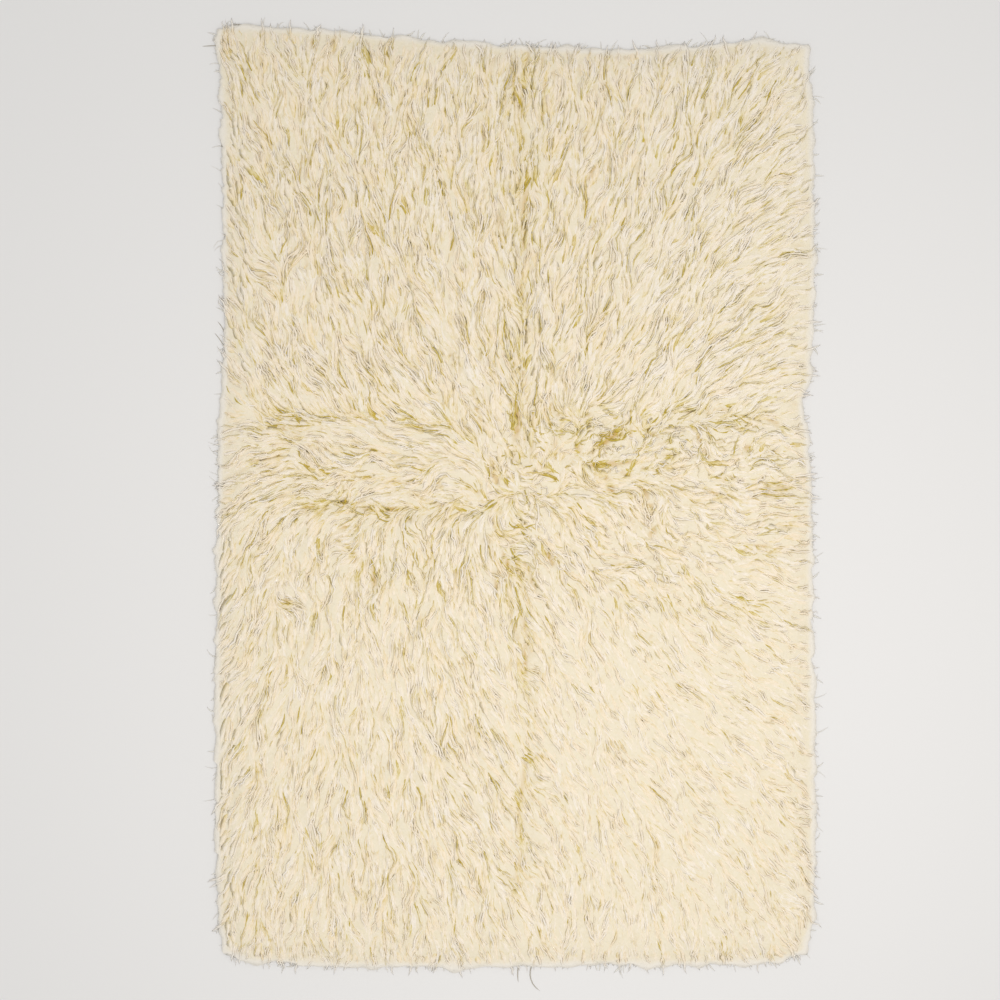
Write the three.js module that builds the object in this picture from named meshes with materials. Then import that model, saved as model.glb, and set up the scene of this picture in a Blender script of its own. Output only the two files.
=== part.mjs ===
// A flokati rug lying flat: one woollen cloth whose long pile is woven in with the ground.
// The pile is combed outwards from the middle, and the marks of two folds, one lengthwise
// and one crosswise, part it in a cross. Millimetres, +Z up, +Y towards the head end.
// The origin is the middle of the rug's underside.
import * as THREE from 'three';

// Driving dimensions of the pile.
const PILE_HEIGHT = 35; // top of the lying pile away from the edges and folds
const EDGE_HEIGHT = 14; // the pile's side wall at the ground's edge
const EDGE_SLOPE = 75; // width of the border over which the pile falls to its edge
const UNDERSIDE_INSET = 3; // the underside is this much smaller than the wall all round
const NOMINAL = { halfWidth: 740, halfLength: 1158 }; // the ground as woven, before it lay uneven

// The ground's edges, as they lie. at: place along the edge. out: distance from the middle line.
const HEAD_EDGE = [
  { at: -722, out: 1152 },
  { at: -620, out: 1172 },
  { at: -450, out: 1181 },
  { at: -320, out: 1168 },
  { at: -130, out: 1150 },
  { at: 60, out: 1136 },
  { at: 240, out: 1130 },
  { at: 440, out: 1141 },
  { at: 620, out: 1157 },
  { at: 728, out: 1147 },
];
const FOOT_EDGE = [
  { at: -738, out: 1141 },
  { at: -660, out: 1166 },
  { at: -430, out: 1176 },
  { at: -110, out: 1180 },
  { at: 180, out: 1172 },
  { at: 480, out: 1175 },
  { at: 670, out: 1166 },
  { at: 742, out: 1143 },
];
const LEFT_EDGE = [
  { at: -1141, out: 738 },
  { at: -1060, out: 750 },
  { at: -800, out: 766 },
  { at: -520, out: 762 },
  { at: -200, out: 752 },
  { at: 100, out: 742 },
  { at: 380, out: 724 },
  { at: 640, out: 731 },
  { at: 950, out: 733 },
  { at: 1152, out: 722 },
];
const RIGHT_EDGE = [
  { at: -1143, out: 742 },
  { at: -1060, out: 753 },
  { at: -700, out: 751 },
  { at: -350, out: 747 },
  { at: 20, out: 738 },
  { at: 160, out: 731 },
  { at: 245, out: 716 },
  { at: 340, out: 736 },
  { at: 640, out: 739 },
  { at: 1000, out: 742 },
  { at: 1147, out: 728 },
];

// The lie of the pile: compass headings of the lock tips in degrees, 0 towards the head end
// and 90 towards the right, in bands across the rug at the distances y from the middle.
const LIE_ACROSS = {
  farLeft: -700, left: -450, midLeft: -225, middle: 0, midRight: 225, right: 450, farRight: 700,
};
const LIE = [
  { y: 1130, farLeft: -18, left: 2, midLeft: 8, middle: 3, midRight: 0, right: 8, farRight: 22 },
  { y: 800, farLeft: -20, left: -8, midLeft: -3, middle: 3, midRight: 14, right: 22, farRight: 42 },
  { y: 450, farLeft: -12, left: -15, midLeft: -20, middle: -10, midRight: 20, right: 30, farRight: 40 },
  { y: 280, farLeft: -35, left: -30, midLeft: -35, middle: -6, midRight: 30, right: 40, farRight: 65 },
  { y: 190, farLeft: -92, left: -75, midLeft: -72, middle: -8, midRight: 35, right: 85, farRight: 105 },
  { y: 60, farLeft: -110, left: -98, midLeft: -85, middle: -20, midRight: 70, right: 98, farRight: 92 },
  { y: -15, farLeft: -128, left: -97, midLeft: -95, middle: 170, midRight: 120, right: 115, farRight: 92 },
  { y: -80, farLeft: -155, left: -165, midLeft: -165, middle: 165, midRight: 145, right: 115, farRight: 82 },
  { y: -200, farLeft: -162, left: -178, midLeft: -178, middle: 158, midRight: 148, right: 145, farRight: 102 },
  { y: -420, farLeft: -158, left: -178, midLeft: 172, middle: 150, midRight: 158, right: 130, farRight: 118 },
  { y: -800, farLeft: -165, left: 180, midLeft: 162, middle: 142, midRight: 156, right: 140, farRight: 135 },
  { y: -1150, farLeft: -168, left: 180, midLeft: 178, middle: 160, midRight: 190, right: 165, farRight: 150 },
];

// Where the folds have parted the pile: a trough of this depth and half width along each line,
// whose points are x and y.
const FOLD_TROUGHS = [
  { fold: 'lengthwise, head', depth: 12, half: 30, line: [[30, 1150], [34, 620], [14, 300], [4, 130]] },
  { fold: 'lengthwise, foot', depth: 8, half: 30, line: [[4, -50], [22, -330], [36, -620], [20, -980]] },
  { fold: 'left, upper', depth: 7, half: 24, line: [[-690, 228], [-400, 236], [-130, 190]] },
  { fold: 'left, lower', depth: 12, half: 28, line: [[-480, -8], [-340, -28], [-90, -14]] },
  { fold: 'right, upper', depth: 12, half: 30, line: [[90, 225], [300, 178], [480, 226], [690, 214]] },
  { fold: 'right, middle', depth: 9, half: 26, line: [[120, 20], [230, 82], [400, 88]] },
  { fold: 'right, lower', depth: 5, half: 24, line: [[210, -250], [450, -276], [690, -268]] },
];

// The lumps of the pile: long low mounds of locks, in staggered rows, each turned to the lie.
const LUMP_PITCH = { x: 62, y: 88 };
const LUMP_HALF_SIZE = { across: 23, along: 62 };
const LUMP_RISE = { least: 5, most: 13 };
const LUMP_STRAY = 0.25; // how far a mound may lie off its place, as a share of the pitch

// The grid of the pile's top, with one lock of the rim on each of its border edges.
const COLUMNS = 46;
const ROWS = 72;

// The locks at the rim, which leave the wall and lie on the floor.
const LOCK_LENGTH = { least: 22, most: 48 }; // from the ground's edge to the tip
const LOCK_WIDTH = { least: 20, most: 26 };
const LOCK_RISE = 2; // how far a lock's ridge stands above the wall where it leaves
const LOCK_WAIST = { along: 0.55, width: 0.78, height: 9 }; // a lock's section half way out
const LOCK_LEAN = 32; // the most degrees that a lock leans away from straight outwards
const LOCK_JITTER = 5; // degrees
const LOCK_SHIFT = 0.06; // how far a lock's root may leave the middle of its edge, as a share of it

const WOOL_CREAM = 0xe8dbbe;

// A repeatable number from 0 to 1 for a pair of whole numbers.
function scatter(i, j) {
  const s = Math.sin(i * 127.1 + j * 311.7) * 43758.5453;
  return s - Math.floor(s);
}

// A smooth step from 0 at a to 1 at b.
function ease(a, b, value) {
  return THREE.MathUtils.smoothstep(value, a, b);
}

// The distance of an edge from the middle line, at a place along it.
function edgeAt(edge, place) {
  if (place <= edge[0].at) return edge[0].out;
  for (let i = 1; i < edge.length; i++) {
    const [a, b] = [edge[i - 1], edge[i]];
    if (place <= b.at) return a.out + (b.out - a.out) * ease(a.at, b.at, place);
  }
  return edge[edge.length - 1].out;
}

// A point of the ground for shares u and v of its width and length, each from -1 to 1.
function groundPoint(u, v) {
  const x = u * NOMINAL.halfWidth;
  const y = v * NOMINAL.halfLength;
  const side = edgeAt(u < 0 ? LEFT_EDGE : RIGHT_EDGE, y);
  const end = edgeAt(v < 0 ? FOOT_EDGE : HEAD_EDGE, x);
  return new THREE.Vector2(u * side, v * end);
}

// The lie of the pile at a point, as a unit vector towards the lock tips.
function lieAt(x, y) {
  const names = Object.keys(LIE_ACROSS);
  const columns = Object.values(LIE_ACROSS);
  const xx = THREE.MathUtils.clamp(x, columns[0], columns[columns.length - 1]);
  const yy = THREE.MathUtils.clamp(y, LIE[LIE.length - 1].y, LIE[0].y);
  const c = Math.min(columns.findLastIndex((place) => place <= xx), columns.length - 2);
  const r = Math.min(LIE.findLastIndex((band) => band.y >= yy), LIE.length - 2);
  const across = (xx - columns[c]) / (columns[c + 1] - columns[c]);
  const down = (LIE[r].y - yy) / (LIE[r].y - LIE[r + 1].y);
  const lie = new THREE.Vector2();
  for (const [band, share] of [[LIE[r], 1 - down], [LIE[r + 1], down]]) {
    for (const [name, part] of [[names[c], 1 - across], [names[c + 1], across]]) {
      const heading = THREE.MathUtils.degToRad(band[name]);
      lie.x += Math.sin(heading) * share * part;
      lie.y += Math.cos(heading) * share * part;
    }
  }
  return lie.normalize();
}

// How far a point is from a line of straight stretches.
function distanceTo(line, point) {
  let nearest = Infinity;
  const target = new THREE.Vector3(point.x, point.y, 0);
  const foot = new THREE.Vector3();
  for (let i = 1; i < line.length; i++) {
    const stretch = new THREE.Line3(
      new THREE.Vector3(...line[i - 1], 0),
      new THREE.Vector3(...line[i], 0),
    );
    stretch.closestPointToPoint(target, true, foot);
    nearest = Math.min(nearest, foot.distanceTo(target));
  }
  return nearest;
}

// How much the folds lower the pile at a point.
function foldDip(point) {
  let dip = 0;
  for (const fold of FOLD_TROUGHS) {
    const share = distanceTo(fold.line, point) / fold.half;
    dip = Math.max(dip, fold.depth * Math.exp(-share * share));
  }
  return dip;
}

// The mounds of locks: their middles, lie and rise.
function moundsOfLocks() {
  const mounds = [];
  const rows = Math.ceil(NOMINAL.halfLength / LUMP_PITCH.y);
  const columns = Math.ceil(NOMINAL.halfWidth / LUMP_PITCH.x);
  for (let j = -rows; j <= rows; j++) {
    for (let i = -columns; i <= columns; i++) {
      const x = (i + (j % 2) / 2 + LUMP_STRAY * (2 * scatter(i, j) - 1)) * LUMP_PITCH.x;
      const y = (j + LUMP_STRAY * (2 * scatter(j + 50, i) - 1)) * LUMP_PITCH.y;
      const rise = THREE.MathUtils.lerp(LUMP_RISE.least, LUMP_RISE.most, scatter(i + 90, j + 7));
      mounds.push({ x, y, rise, lie: lieAt(x, y) });
    }
  }
  return mounds;
}

// The rise of the mounds over a point, above their own mean.
function moundRise(mounds, point) {
  let rise = 0;
  for (const mound of mounds) {
    const dx = point.x - mound.x;
    const dy = point.y - mound.y;
    if (Math.hypot(dx, dy) > 2 * LUMP_HALF_SIZE.along) continue;
    const along = (dx * mound.lie.x + dy * mound.lie.y) / LUMP_HALF_SIZE.along;
    const across = (dx * mound.lie.y - dy * mound.lie.x) / LUMP_HALF_SIZE.across;
    rise = Math.max(rise, mound.rise * Math.exp(-along * along - across * across));
  }
  return rise - LUMP_RISE.least;
}

// The height of the pile's top at a point, which lies this far inside the ground's edge.
function pileHeight(mounds, point, inside) {
  const border = Math.sin((Math.PI / 2) * Math.min(1, inside / EDGE_SLOPE));
  const relief = moundRise(mounds, point) - foldDip(point);
  return EDGE_HEIGHT + (PILE_HEIGHT - EDGE_HEIGHT + relief) * border;
}

// The points and faces of a surface, with a short way to add to them.
class Surface {
  constructor() {
    this.points = [];
    this.faces = [];
  }

  add(x, y, z) {
    return this.points.push(new THREE.Vector3(x, y, z)) - 1;
  }

  // The triangles of a ring of points, seen from outside in turn, all from its first point.
  fan(...ring) {
    for (let i = 2; i < ring.length; i++) this.faces.push(ring[0], ring[i - 1], ring[i]);
  }

  geometry() {
    const geometry = new THREE.BufferGeometry().setFromPoints(this.points);
    geometry.setIndex(this.faces);
    return geometry;
  }
}

// The pile's top points, row by row from the foot end, each row from left to right.
function topPoints(surface) {
  const mounds = moundsOfLocks();
  const rows = [];
  for (let j = 0; j <= ROWS; j++) {
    const row = [];
    for (let i = 0; i <= COLUMNS; i++) {
      const u = (2 * i) / COLUMNS - 1;
      const v = (2 * j) / ROWS - 1;
      const point = groundPoint(u, v);
      const inside = Math.min(
        (1 - Math.abs(u)) * NOMINAL.halfWidth,
        (1 - Math.abs(v)) * NOMINAL.halfLength,
      );
      row.push(surface.add(point.x, point.y, pileHeight(mounds, point, inside)));
    }
    rows.push(row);
  }
  return rows;
}

// The border points of the top, once around from the foot end's left corner, the right side next.
function borderOf(rows) {
  return [
    ...rows[0].slice(0, COLUMNS),
    ...rows.slice(0, ROWS).map((row) => row[COLUMNS]),
    ...rows[ROWS].slice(1).reverse(),
    ...rows.slice(1).map((row) => row[0]).reverse(),
  ];
}

// One lock and its stretch of wall, between two neighbouring points of the border. Three sides,
// flat on the floor, from the wall to a pointed tip. Gives the ridge's first point and the
// points on the floor in turn.
function rimLock(surface, top, foot, number) {
  const [topA, topB, footA, footB] = [...top, ...foot].map((index) => surface.points[index]);
  const edge = footB.clone().sub(footA);
  const reach = edge.length();
  edge.normalize();
  const outwards = Math.atan2(-edge.x, edge.y);
  const middle = footA.clone().lerp(footB, 0.5 + LOCK_SHIFT * (2 * scatter(number, 5) - 1));

  const lie = lieAt(middle.x, middle.y);
  const turn = Math.atan2(lie.y, lie.x) - outwards;
  const lean = THREE.MathUtils.radToDeg(Math.atan2(Math.sin(turn), Math.cos(turn))) / 2;
  const jitter = LOCK_JITTER * (2 * scatter(number, 3) - 1);
  const degrees = THREE.MathUtils.clamp(lean, -LOCK_LEAN, LOCK_LEAN) + jitter;
  const heading = outwards + THREE.MathUtils.degToRad(degrees);
  const out = new THREE.Vector3(Math.cos(heading), Math.sin(heading), 0);
  const length = THREE.MathUtils.lerp(LOCK_LENGTH.least, LOCK_LENGTH.most, scatter(number, 11));
  const width = THREE.MathUtils.lerp(LOCK_WIDTH.least, LOCK_WIDTH.most, scatter(number, 17));

  const beside = (point, share) => {
    const place = point.clone().addScaledVector(edge, share * width);
    return surface.add(place.x, place.y, 0);
  };
  const share = middle.distanceTo(footA) / reach;
  const crest = topA.clone().lerp(topB, share);
  const ridge = surface.add(crest.x, crest.y, crest.z + LOCK_RISE);
  const [rootA, rootB] = [beside(middle, -0.5), beside(middle, 0.5)];
  const waistAt = middle.clone().addScaledVector(out, length * LOCK_WAIST.along);
  const waistA = beside(waistAt, -0.5 * LOCK_WAIST.width);
  const waistB = beside(waistAt, 0.5 * LOCK_WAIST.width);
  const waist = surface.add(waistAt.x, waistAt.y, LOCK_WAIST.height);
  const tipAt = middle.clone().addScaledVector(out, length);
  const tip = surface.add(tipAt.x, tipAt.y, 0);

  surface.fan(foot[0], rootA, ridge, top[0]);
  surface.fan(foot[1], top[1], ridge, rootB);
  surface.fan(rootA, waistA, waist, ridge);
  surface.fan(rootB, ridge, waist, waistB);
  surface.fan(waistA, tip, waist);
  surface.fan(waistB, waist, tip);
  return { ridge, floor: [foot[0], rootA, waistA, tip, waistB, rootB] };
}

// The whole rug as one closed surface, with the middle of its box over the origin.
function rugGeometry() {
  const surface = new Surface();
  const rows = topPoints(surface);
  const border = borderOf(rows);
  const feet = border.map((index) => {
    const point = surface.points[index];
    const inset = 1 - UNDERSIDE_INSET / Math.hypot(point.x, point.y);
    return surface.add(point.x * inset, point.y * inset, 0);
  });

  const ridges = new Map();
  const floor = [];
  border.forEach((index, n) => {
    const next = (n + 1) % border.length;
    const lock = rimLock(surface, [index, border[next]], [feet[n], feet[next]], n);
    ridges.set(`${index} ${border[next]}`, lock.ridge);
    floor.push(...lock.floor);
  });

  for (let j = 0; j < ROWS; j++) {
    for (let i = 0; i < COLUMNS; i++) {
      const corners = [rows[j][i], rows[j][i + 1], rows[j + 1][i + 1], rows[j + 1][i]];
      const inner = (i < COLUMNS / 2 ? 1 : 0) + (j < ROWS / 2 ? 2 : 0);
      const first = [0, 1, 3, 2][inner];
      const turned = [...corners.slice(first), ...corners.slice(0, first)];
      const ring = turned.flatMap((corner, k) => {
        const ridge = ridges.get(`${corner} ${turned[(k + 1) % 4]}`);
        return ridge === undefined ? [corner] : [corner, ridge];
      });
      surface.fan(...ring);
    }
  }

  const outline = floor.map((index) => surface.points[index]);
  for (const [a, b, c] of THREE.ShapeUtils.triangulateShape(outline, [])) {
    surface.fan(floor[a], floor[c], floor[b]);
  }

  const geometry = surface.geometry();
  geometry.computeBoundingBox();
  const middle = geometry.boundingBox.getCenter(new THREE.Vector3());
  geometry.translate(-middle.x, -middle.y, 0);
  geometry.computeVertexNormals();
  return geometry;
}

const wool = new THREE.MeshStandardMaterial({ color: WOOL_CREAM, roughness: 0.95, metalness: 0 });
wool.name = 'wool';
const rug = new THREE.Mesh(rugGeometry(), wool);
rug.name = 'rug';
const part = new THREE.Group();
part.name = 'flokati_rug';
part.add(rug);

export default part;
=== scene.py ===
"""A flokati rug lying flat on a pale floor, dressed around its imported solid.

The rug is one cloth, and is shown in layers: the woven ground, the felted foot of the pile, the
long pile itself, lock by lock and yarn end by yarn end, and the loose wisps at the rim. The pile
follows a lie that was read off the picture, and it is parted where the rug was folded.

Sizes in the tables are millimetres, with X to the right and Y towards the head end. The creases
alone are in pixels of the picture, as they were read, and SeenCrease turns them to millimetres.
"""

import logging
import math
from dataclasses import dataclass
from enum import Enum
from typing import Any

import bpy
import numpy as np
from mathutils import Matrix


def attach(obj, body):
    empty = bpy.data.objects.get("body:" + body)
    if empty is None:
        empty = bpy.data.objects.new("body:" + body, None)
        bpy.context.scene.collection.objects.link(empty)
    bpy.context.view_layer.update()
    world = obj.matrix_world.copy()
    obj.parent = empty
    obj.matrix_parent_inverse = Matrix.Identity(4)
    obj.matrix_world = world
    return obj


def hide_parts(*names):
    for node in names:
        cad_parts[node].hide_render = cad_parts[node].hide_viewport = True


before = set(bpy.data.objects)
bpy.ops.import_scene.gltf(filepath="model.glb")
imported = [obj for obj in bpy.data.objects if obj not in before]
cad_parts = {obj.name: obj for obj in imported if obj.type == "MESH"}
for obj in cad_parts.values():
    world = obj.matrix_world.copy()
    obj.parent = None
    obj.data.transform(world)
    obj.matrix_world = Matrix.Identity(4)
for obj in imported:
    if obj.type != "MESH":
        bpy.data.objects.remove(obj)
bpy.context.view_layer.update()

LOG = logging.getLogger("flokati_rug")
MM = 0.001
NODE = "rug"
BODY = "root"
# From the tables' own zero to the middle of the rug's box, which is the frame's origin.
TABLE_SHIFT = (3.6, 3.0)
# One pixel of the picture in millimetres, and the pixel from which the creases are counted.
PIXEL = 2.555
READ_FROM = (513.0, 500.0)
# How much the surface of the wool mirrors. The shader's own value is 0.5.
WOOL_SPECULAR = 0.2

Array = np.ndarray
Mesh = bpy.types.Mesh
Object = bpy.types.Object
Material = bpy.types.Material
Node = bpy.types.Node
NodeTree = bpy.types.NodeTree


def ease(low: float, high: float, value: Array) -> Array:
    """A smooth step.

    Args:
        low: The value at which the step starts, from 0.
        high: The value at which it ends, at 1.
        value: The values to map.

    Returns:
        Numbers from 0 to 1.
    """
    share = np.clip((value - low) / (high - low), 0.0, 1.0)
    return share * share * (3.0 - 2.0 * share)


def linear(hex_colour: str) -> tuple[float, float, float, float]:
    """Turns an sRGB hex value to the linear colour that a shader takes.

    Args:
        hex_colour: Six hex digits after a hash mark.

    Returns:
        Red, green, blue and an alpha of 1.
    """
    shares = [int(hex_colour[i : i + 2], 16) / 255 for i in (1, 3, 5)]
    red, green, blue = (s / 12.92 if s <= 0.04045 else ((s + 0.055) / 1.055) ** 2.4 for s in shares)
    return red, green, blue, 1.0


@dataclass(frozen=True)
class EdgePoint:
    """A point of an edge of the pile's slab: its place along the edge, and how far out it lies."""

    at: float
    out: float


@dataclass(frozen=True)
class Edge:
    """One side of the rug, as uneven as it lies."""

    points: tuple[EdgePoint, ...]

    def out(self, place: Array) -> Array:
        """The edge's distance from the middle line.

        Args:
            place: Places along the edge.

        Returns:
            The distances there.
        """
        ats = np.array([point.at for point in self.points])
        outs = np.array([point.out for point in self.points])
        first = np.clip(np.searchsorted(ats, place) - 1, 0, len(ats) - 2)
        share = ease(0.0, 1.0, (place - ats[first]) / (ats[first + 1] - ats[first]))
        return outs[first] + (outs[first + 1] - outs[first]) * share


@dataclass(frozen=True)
class Outline:
    """The rug's four edges, where the dense pile ends."""

    head: Edge
    foot: Edge
    left: Edge
    right: Edge
    half_width: float = 740.0
    half_length: float = 1158.0
    # How far from a corner the way outwards turns from one edge's to the other's.
    corner: float = 45.0

    def reach(self, x: Array, y: Array) -> tuple[Array, Array]:
        """How far the rug reaches on the side of each point.

        Args:
            x: Places across the rug.
            y: Places along it.

        Returns:
            The reach across and the reach along.
        """
        across = np.where(x < 0, self.left.out(y), self.right.out(y))
        along = np.where(y < 0, self.foot.out(x), self.head.out(x))
        return across, along

    def point(self, u: Array, v: Array, inset: float | Array = 0.0) -> tuple[Array, Array]:
        """Points of the rug for shares of its width and length.

        Args:
            u: Shares from -1 to 1 across the rug.
            v: Shares from -1 to 1 along it.
            inset: How far inside the edges the shares of 1 lie.

        Returns:
            The points' X and Y.
        """
        across, along = self.reach(u * self.half_width, v * self.half_length)
        return u * (across - inset), v * (along - inset)

    def inside(self, x: Array, y: Array) -> Array:
        """How far inside the nearest edge each point lies, and below 0 outside.

        Args:
            x: The points' X.
            y: The points' Y.

        Returns:
            The distances.
        """
        across, along = self.reach(x, y)
        past_side, past_end = np.abs(x) - across, np.abs(y) - along
        outside = np.hypot(np.maximum(past_side, 0.0), np.maximum(past_end, 0.0))
        return -(outside + np.minimum(np.maximum(past_side, past_end), 0.0))

    def outwards(self, x: Array, y: Array) -> tuple[Array, Array]:
        """The way to the nearest edge, turned smoothly past the corners.

        Args:
            x: The points' X.
            y: The points' Y.

        Returns:
            The X and Y of unit vectors.
        """
        across, along = self.reach(x, y)
        pull_x = np.exp((np.abs(x) - across) / self.corner)
        pull_y = np.exp((np.abs(y) - along) / self.corner)
        long = np.hypot(pull_x, pull_y)
        return np.sign(x) * pull_x / long, np.sign(y) * pull_y / long


OUTLINE = Outline(
    head=Edge(
        (
            EdgePoint(at=-722, out=1208),
            EdgePoint(at=-620, out=1205),
            EdgePoint(at=-450, out=1196),
            EdgePoint(at=-320, out=1182),
            EdgePoint(at=-130, out=1166),
            EdgePoint(at=60, out=1155),
            EdgePoint(at=240, out=1146),
            EdgePoint(at=440, out=1155),
            EdgePoint(at=620, out=1172),
            EdgePoint(at=728, out=1158),
        )
    ),
    foot=Edge(
        (
            EdgePoint(at=-738, out=1144),
            EdgePoint(at=-660, out=1168),
            EdgePoint(at=-430, out=1178),
            EdgePoint(at=-110, out=1180),
            EdgePoint(at=180, out=1174),
            EdgePoint(at=480, out=1175),
            EdgePoint(at=670, out=1168),
            EdgePoint(at=742, out=1146),
        )
    ),
    left=Edge(
        (
            EdgePoint(at=-1141, out=732),
            EdgePoint(at=-1060, out=748),
            EdgePoint(at=-800, out=752),
            EdgePoint(at=-520, out=751),
            EdgePoint(at=-200, out=751),
            EdgePoint(at=100, out=744),
            EdgePoint(at=380, out=730),
            EdgePoint(at=640, out=732),
            EdgePoint(at=950, out=735),
            EdgePoint(at=1152, out=749),
        )
    ),
    right=Edge(
        (
            EdgePoint(at=-1143, out=736),
            EdgePoint(at=-1060, out=757),
            EdgePoint(at=-700, out=757),
            EdgePoint(at=-350, out=752),
            EdgePoint(at=20, out=750),
            EdgePoint(at=160, out=740),
            EdgePoint(at=245, out=726),
            EdgePoint(at=340, out=748),
            EdgePoint(at=640, out=757),
            EdgePoint(at=1000, out=751),
            EdgePoint(at=1147, out=738),
        )
    ),
)


class Drift:
    """A smooth wandering number over the rug, from a few waves at odd angles."""

    # The wavelengths, as shares of the middle one.
    spread: tuple[float, float] = (0.7, 1.5)
    strength: float = 1.6

    def __init__(self, seed: int, wavelength: float, waves: int = 7) -> None:
        """Draws the waves.

        Args:
            seed: The draw's seed.
            wavelength: The middle wavelength in millimetres.
            waves: How many waves are added.
        """
        rng = np.random.default_rng(seed)
        angle = rng.uniform(0.0, 2.0 * math.pi, waves)
        rate = 2.0 * math.pi / (wavelength * rng.uniform(*self.spread, waves))
        self.rate_x, self.rate_y = rate * np.cos(angle), rate * np.sin(angle)
        self.phase = rng.uniform(0.0, 2.0 * math.pi, waves)

    def at(self, x: Array, y: Array) -> Array:
        """The number at each point.

        Args:
            x: The points' X.
            y: The points' Y.

        Returns:
            Numbers mostly from -1 to 1.
        """
        total = np.zeros_like(x)
        for rate_x, rate_y, phase in zip(self.rate_x, self.rate_y, self.phase):
            total += np.sin(rate_x * x + rate_y * y + phase)
        return total * math.sqrt(self.strength / len(self.phase))


@dataclass(frozen=True)
class LieBand:
    """The lie of the pile across the rug at one distance y from its middle.

    Each is the compass heading of the lock tips in degrees: 0 is towards the head end, and 90 is
    towards the right.
    """

    y: float
    far_left: float
    left: float
    mid_left: float
    middle: float
    mid_right: float
    right: float
    far_right: float

    def headings(self) -> Array:
        """The headings from left to right, in radians."""
        row = (self.far_left, self.left, self.mid_left, self.middle)
        return np.radians([*row, self.mid_right, self.right, self.far_right])


@dataclass(frozen=True)
class Whorl:
    """A round patch in which the locks curl round, by degrees at its middle."""

    x: float
    y: float
    radius: float
    degrees: float


@dataclass(frozen=True)
class Lie:
    """The way in which the pile lies over, all over the rug.

    The waves are by how many degrees the pile wanders from its lie.
    """

    across: tuple[float, ...]
    bands: tuple[LieBand, ...]
    whorls: tuple[Whorl, ...]
    long_wave: float = 6.0
    short_wave: float = 13.0

    def course(self, x: Array, y: Array) -> Array:
        """The heading of the tips, with the pile's waves, anticlockwise from the X axis.

        Args:
            x: The points' X.
            y: The points' Y.

        Returns:
            Angles in radians.
        """
        east, north = self.towards(x, y)
        wander = self.long_wave * Drift(3, 190.0).at(x, y)
        wander = wander + self.short_wave * Drift(4, 72.0).at(x, y)
        for whorl in self.whorls:
            share = ((x - whorl.x) ** 2 + (y - whorl.y) ** 2) / whorl.radius**2
            wander = wander + whorl.degrees * np.exp(-share)
        return np.arctan2(north, east) + np.radians(wander)

    def towards(self, x: Array, y: Array) -> tuple[Array, Array]:
        """The way that the tips point.

        Args:
            x: The points' X.
            y: The points' Y.

        Returns:
            The X and Y of unit vectors.
        """
        xs = np.array(self.across)
        ys = np.array([band.y for band in self.bands])[::-1]
        table = np.array([band.headings() for band in self.bands])[::-1]
        i = np.clip(np.searchsorted(xs, x) - 1, 0, len(xs) - 2)
        j = np.clip(np.searchsorted(ys, y) - 1, 0, len(ys) - 2)
        s = np.clip((x - xs[i]) / (xs[i + 1] - xs[i]), 0.0, 1.0)
        t = np.clip((y - ys[j]) / (ys[j + 1] - ys[j]), 0.0, 1.0)
        east, north = np.zeros_like(x), np.zeros_like(x)
        for row, row_share in ((j, 1.0 - t), (j + 1, t)):
            for column, column_share in ((i, 1.0 - s), (i + 1, s)):
                heading = table[row, column]
                east += np.sin(heading) * row_share * column_share
                north += np.cos(heading) * row_share * column_share
        long = np.maximum(np.hypot(east, north), 1e-6)
        return east / long, north / long


LIE = Lie(
    across=(-700, -450, -225, 0, 225, 450, 700),
    bands=(
        LieBand(1130, -18, 2, 8, 3, 0, 8, 34),
        LieBand(800, -20, -8, -3, 3, 14, 22, 62),
        LieBand(450, -12, -15, -20, -10, 20, 30, 70),
        LieBand(280, -35, -30, -35, -6, 30, 40, 82),
        LieBand(190, -92, -75, -72, -8, 35, 85, 105),
        LieBand(60, -110, -98, -85, -20, 70, 98, 92),
        LieBand(-15, -128, -97, -95, 170, 120, 115, 92),
        LieBand(-80, -155, -165, -165, 165, 145, 115, 82),
        LieBand(-200, -162, -178, -178, 158, 148, 145, 102),
        LieBand(-420, -158, -178, 172, 150, 158, 130, 118),
        LieBand(-800, -165, 180, 162, 142, 156, 140, 135),
        LieBand(-1150, -168, 180, 178, 160, 190, 165, 150),
    ),
    whorls=(
        Whorl(x=120, y=204, radius=40, degrees=120),
        Whorl(x=222, y=217, radius=38, degrees=-110),
        Whorl(x=324, y=179, radius=42, degrees=100),
        Whorl(x=478, y=153, radius=45, degrees=-80),
        Whorl(x=593, y=141, radius=42, degrees=85),
        Whorl(x=184, y=89, radius=48, degrees=-120),
        Whorl(x=69, y=51, radius=45, degrees=110),
        Whorl(x=-84, y=0, radius=42, degrees=-90),
        Whorl(x=-212, y=51, radius=38, degrees=70),
        Whorl(x=-506, y=115, radius=45, degrees=-70),
        Whorl(x=-429, y=26, radius=38, degrees=80),
        Whorl(x=18, y=-89, radius=48, degrees=90),
        Whorl(x=363, y=-13, radius=45, degrees=-90),
        Whorl(x=273, y=-153, radius=48, degrees=75),
        Whorl(x=-442, y=-115, radius=38, degrees=-75),
        Whorl(x=-250, y=-80, radius=40, degrees=60),
        Whorl(x=-570, y=-256, radius=36, degrees=110),
        Whorl(x=-640, y=590, radius=40, degrees=60),
        Whorl(x=-560, y=640, radius=36, degrees=-65),
    ),
)


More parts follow.
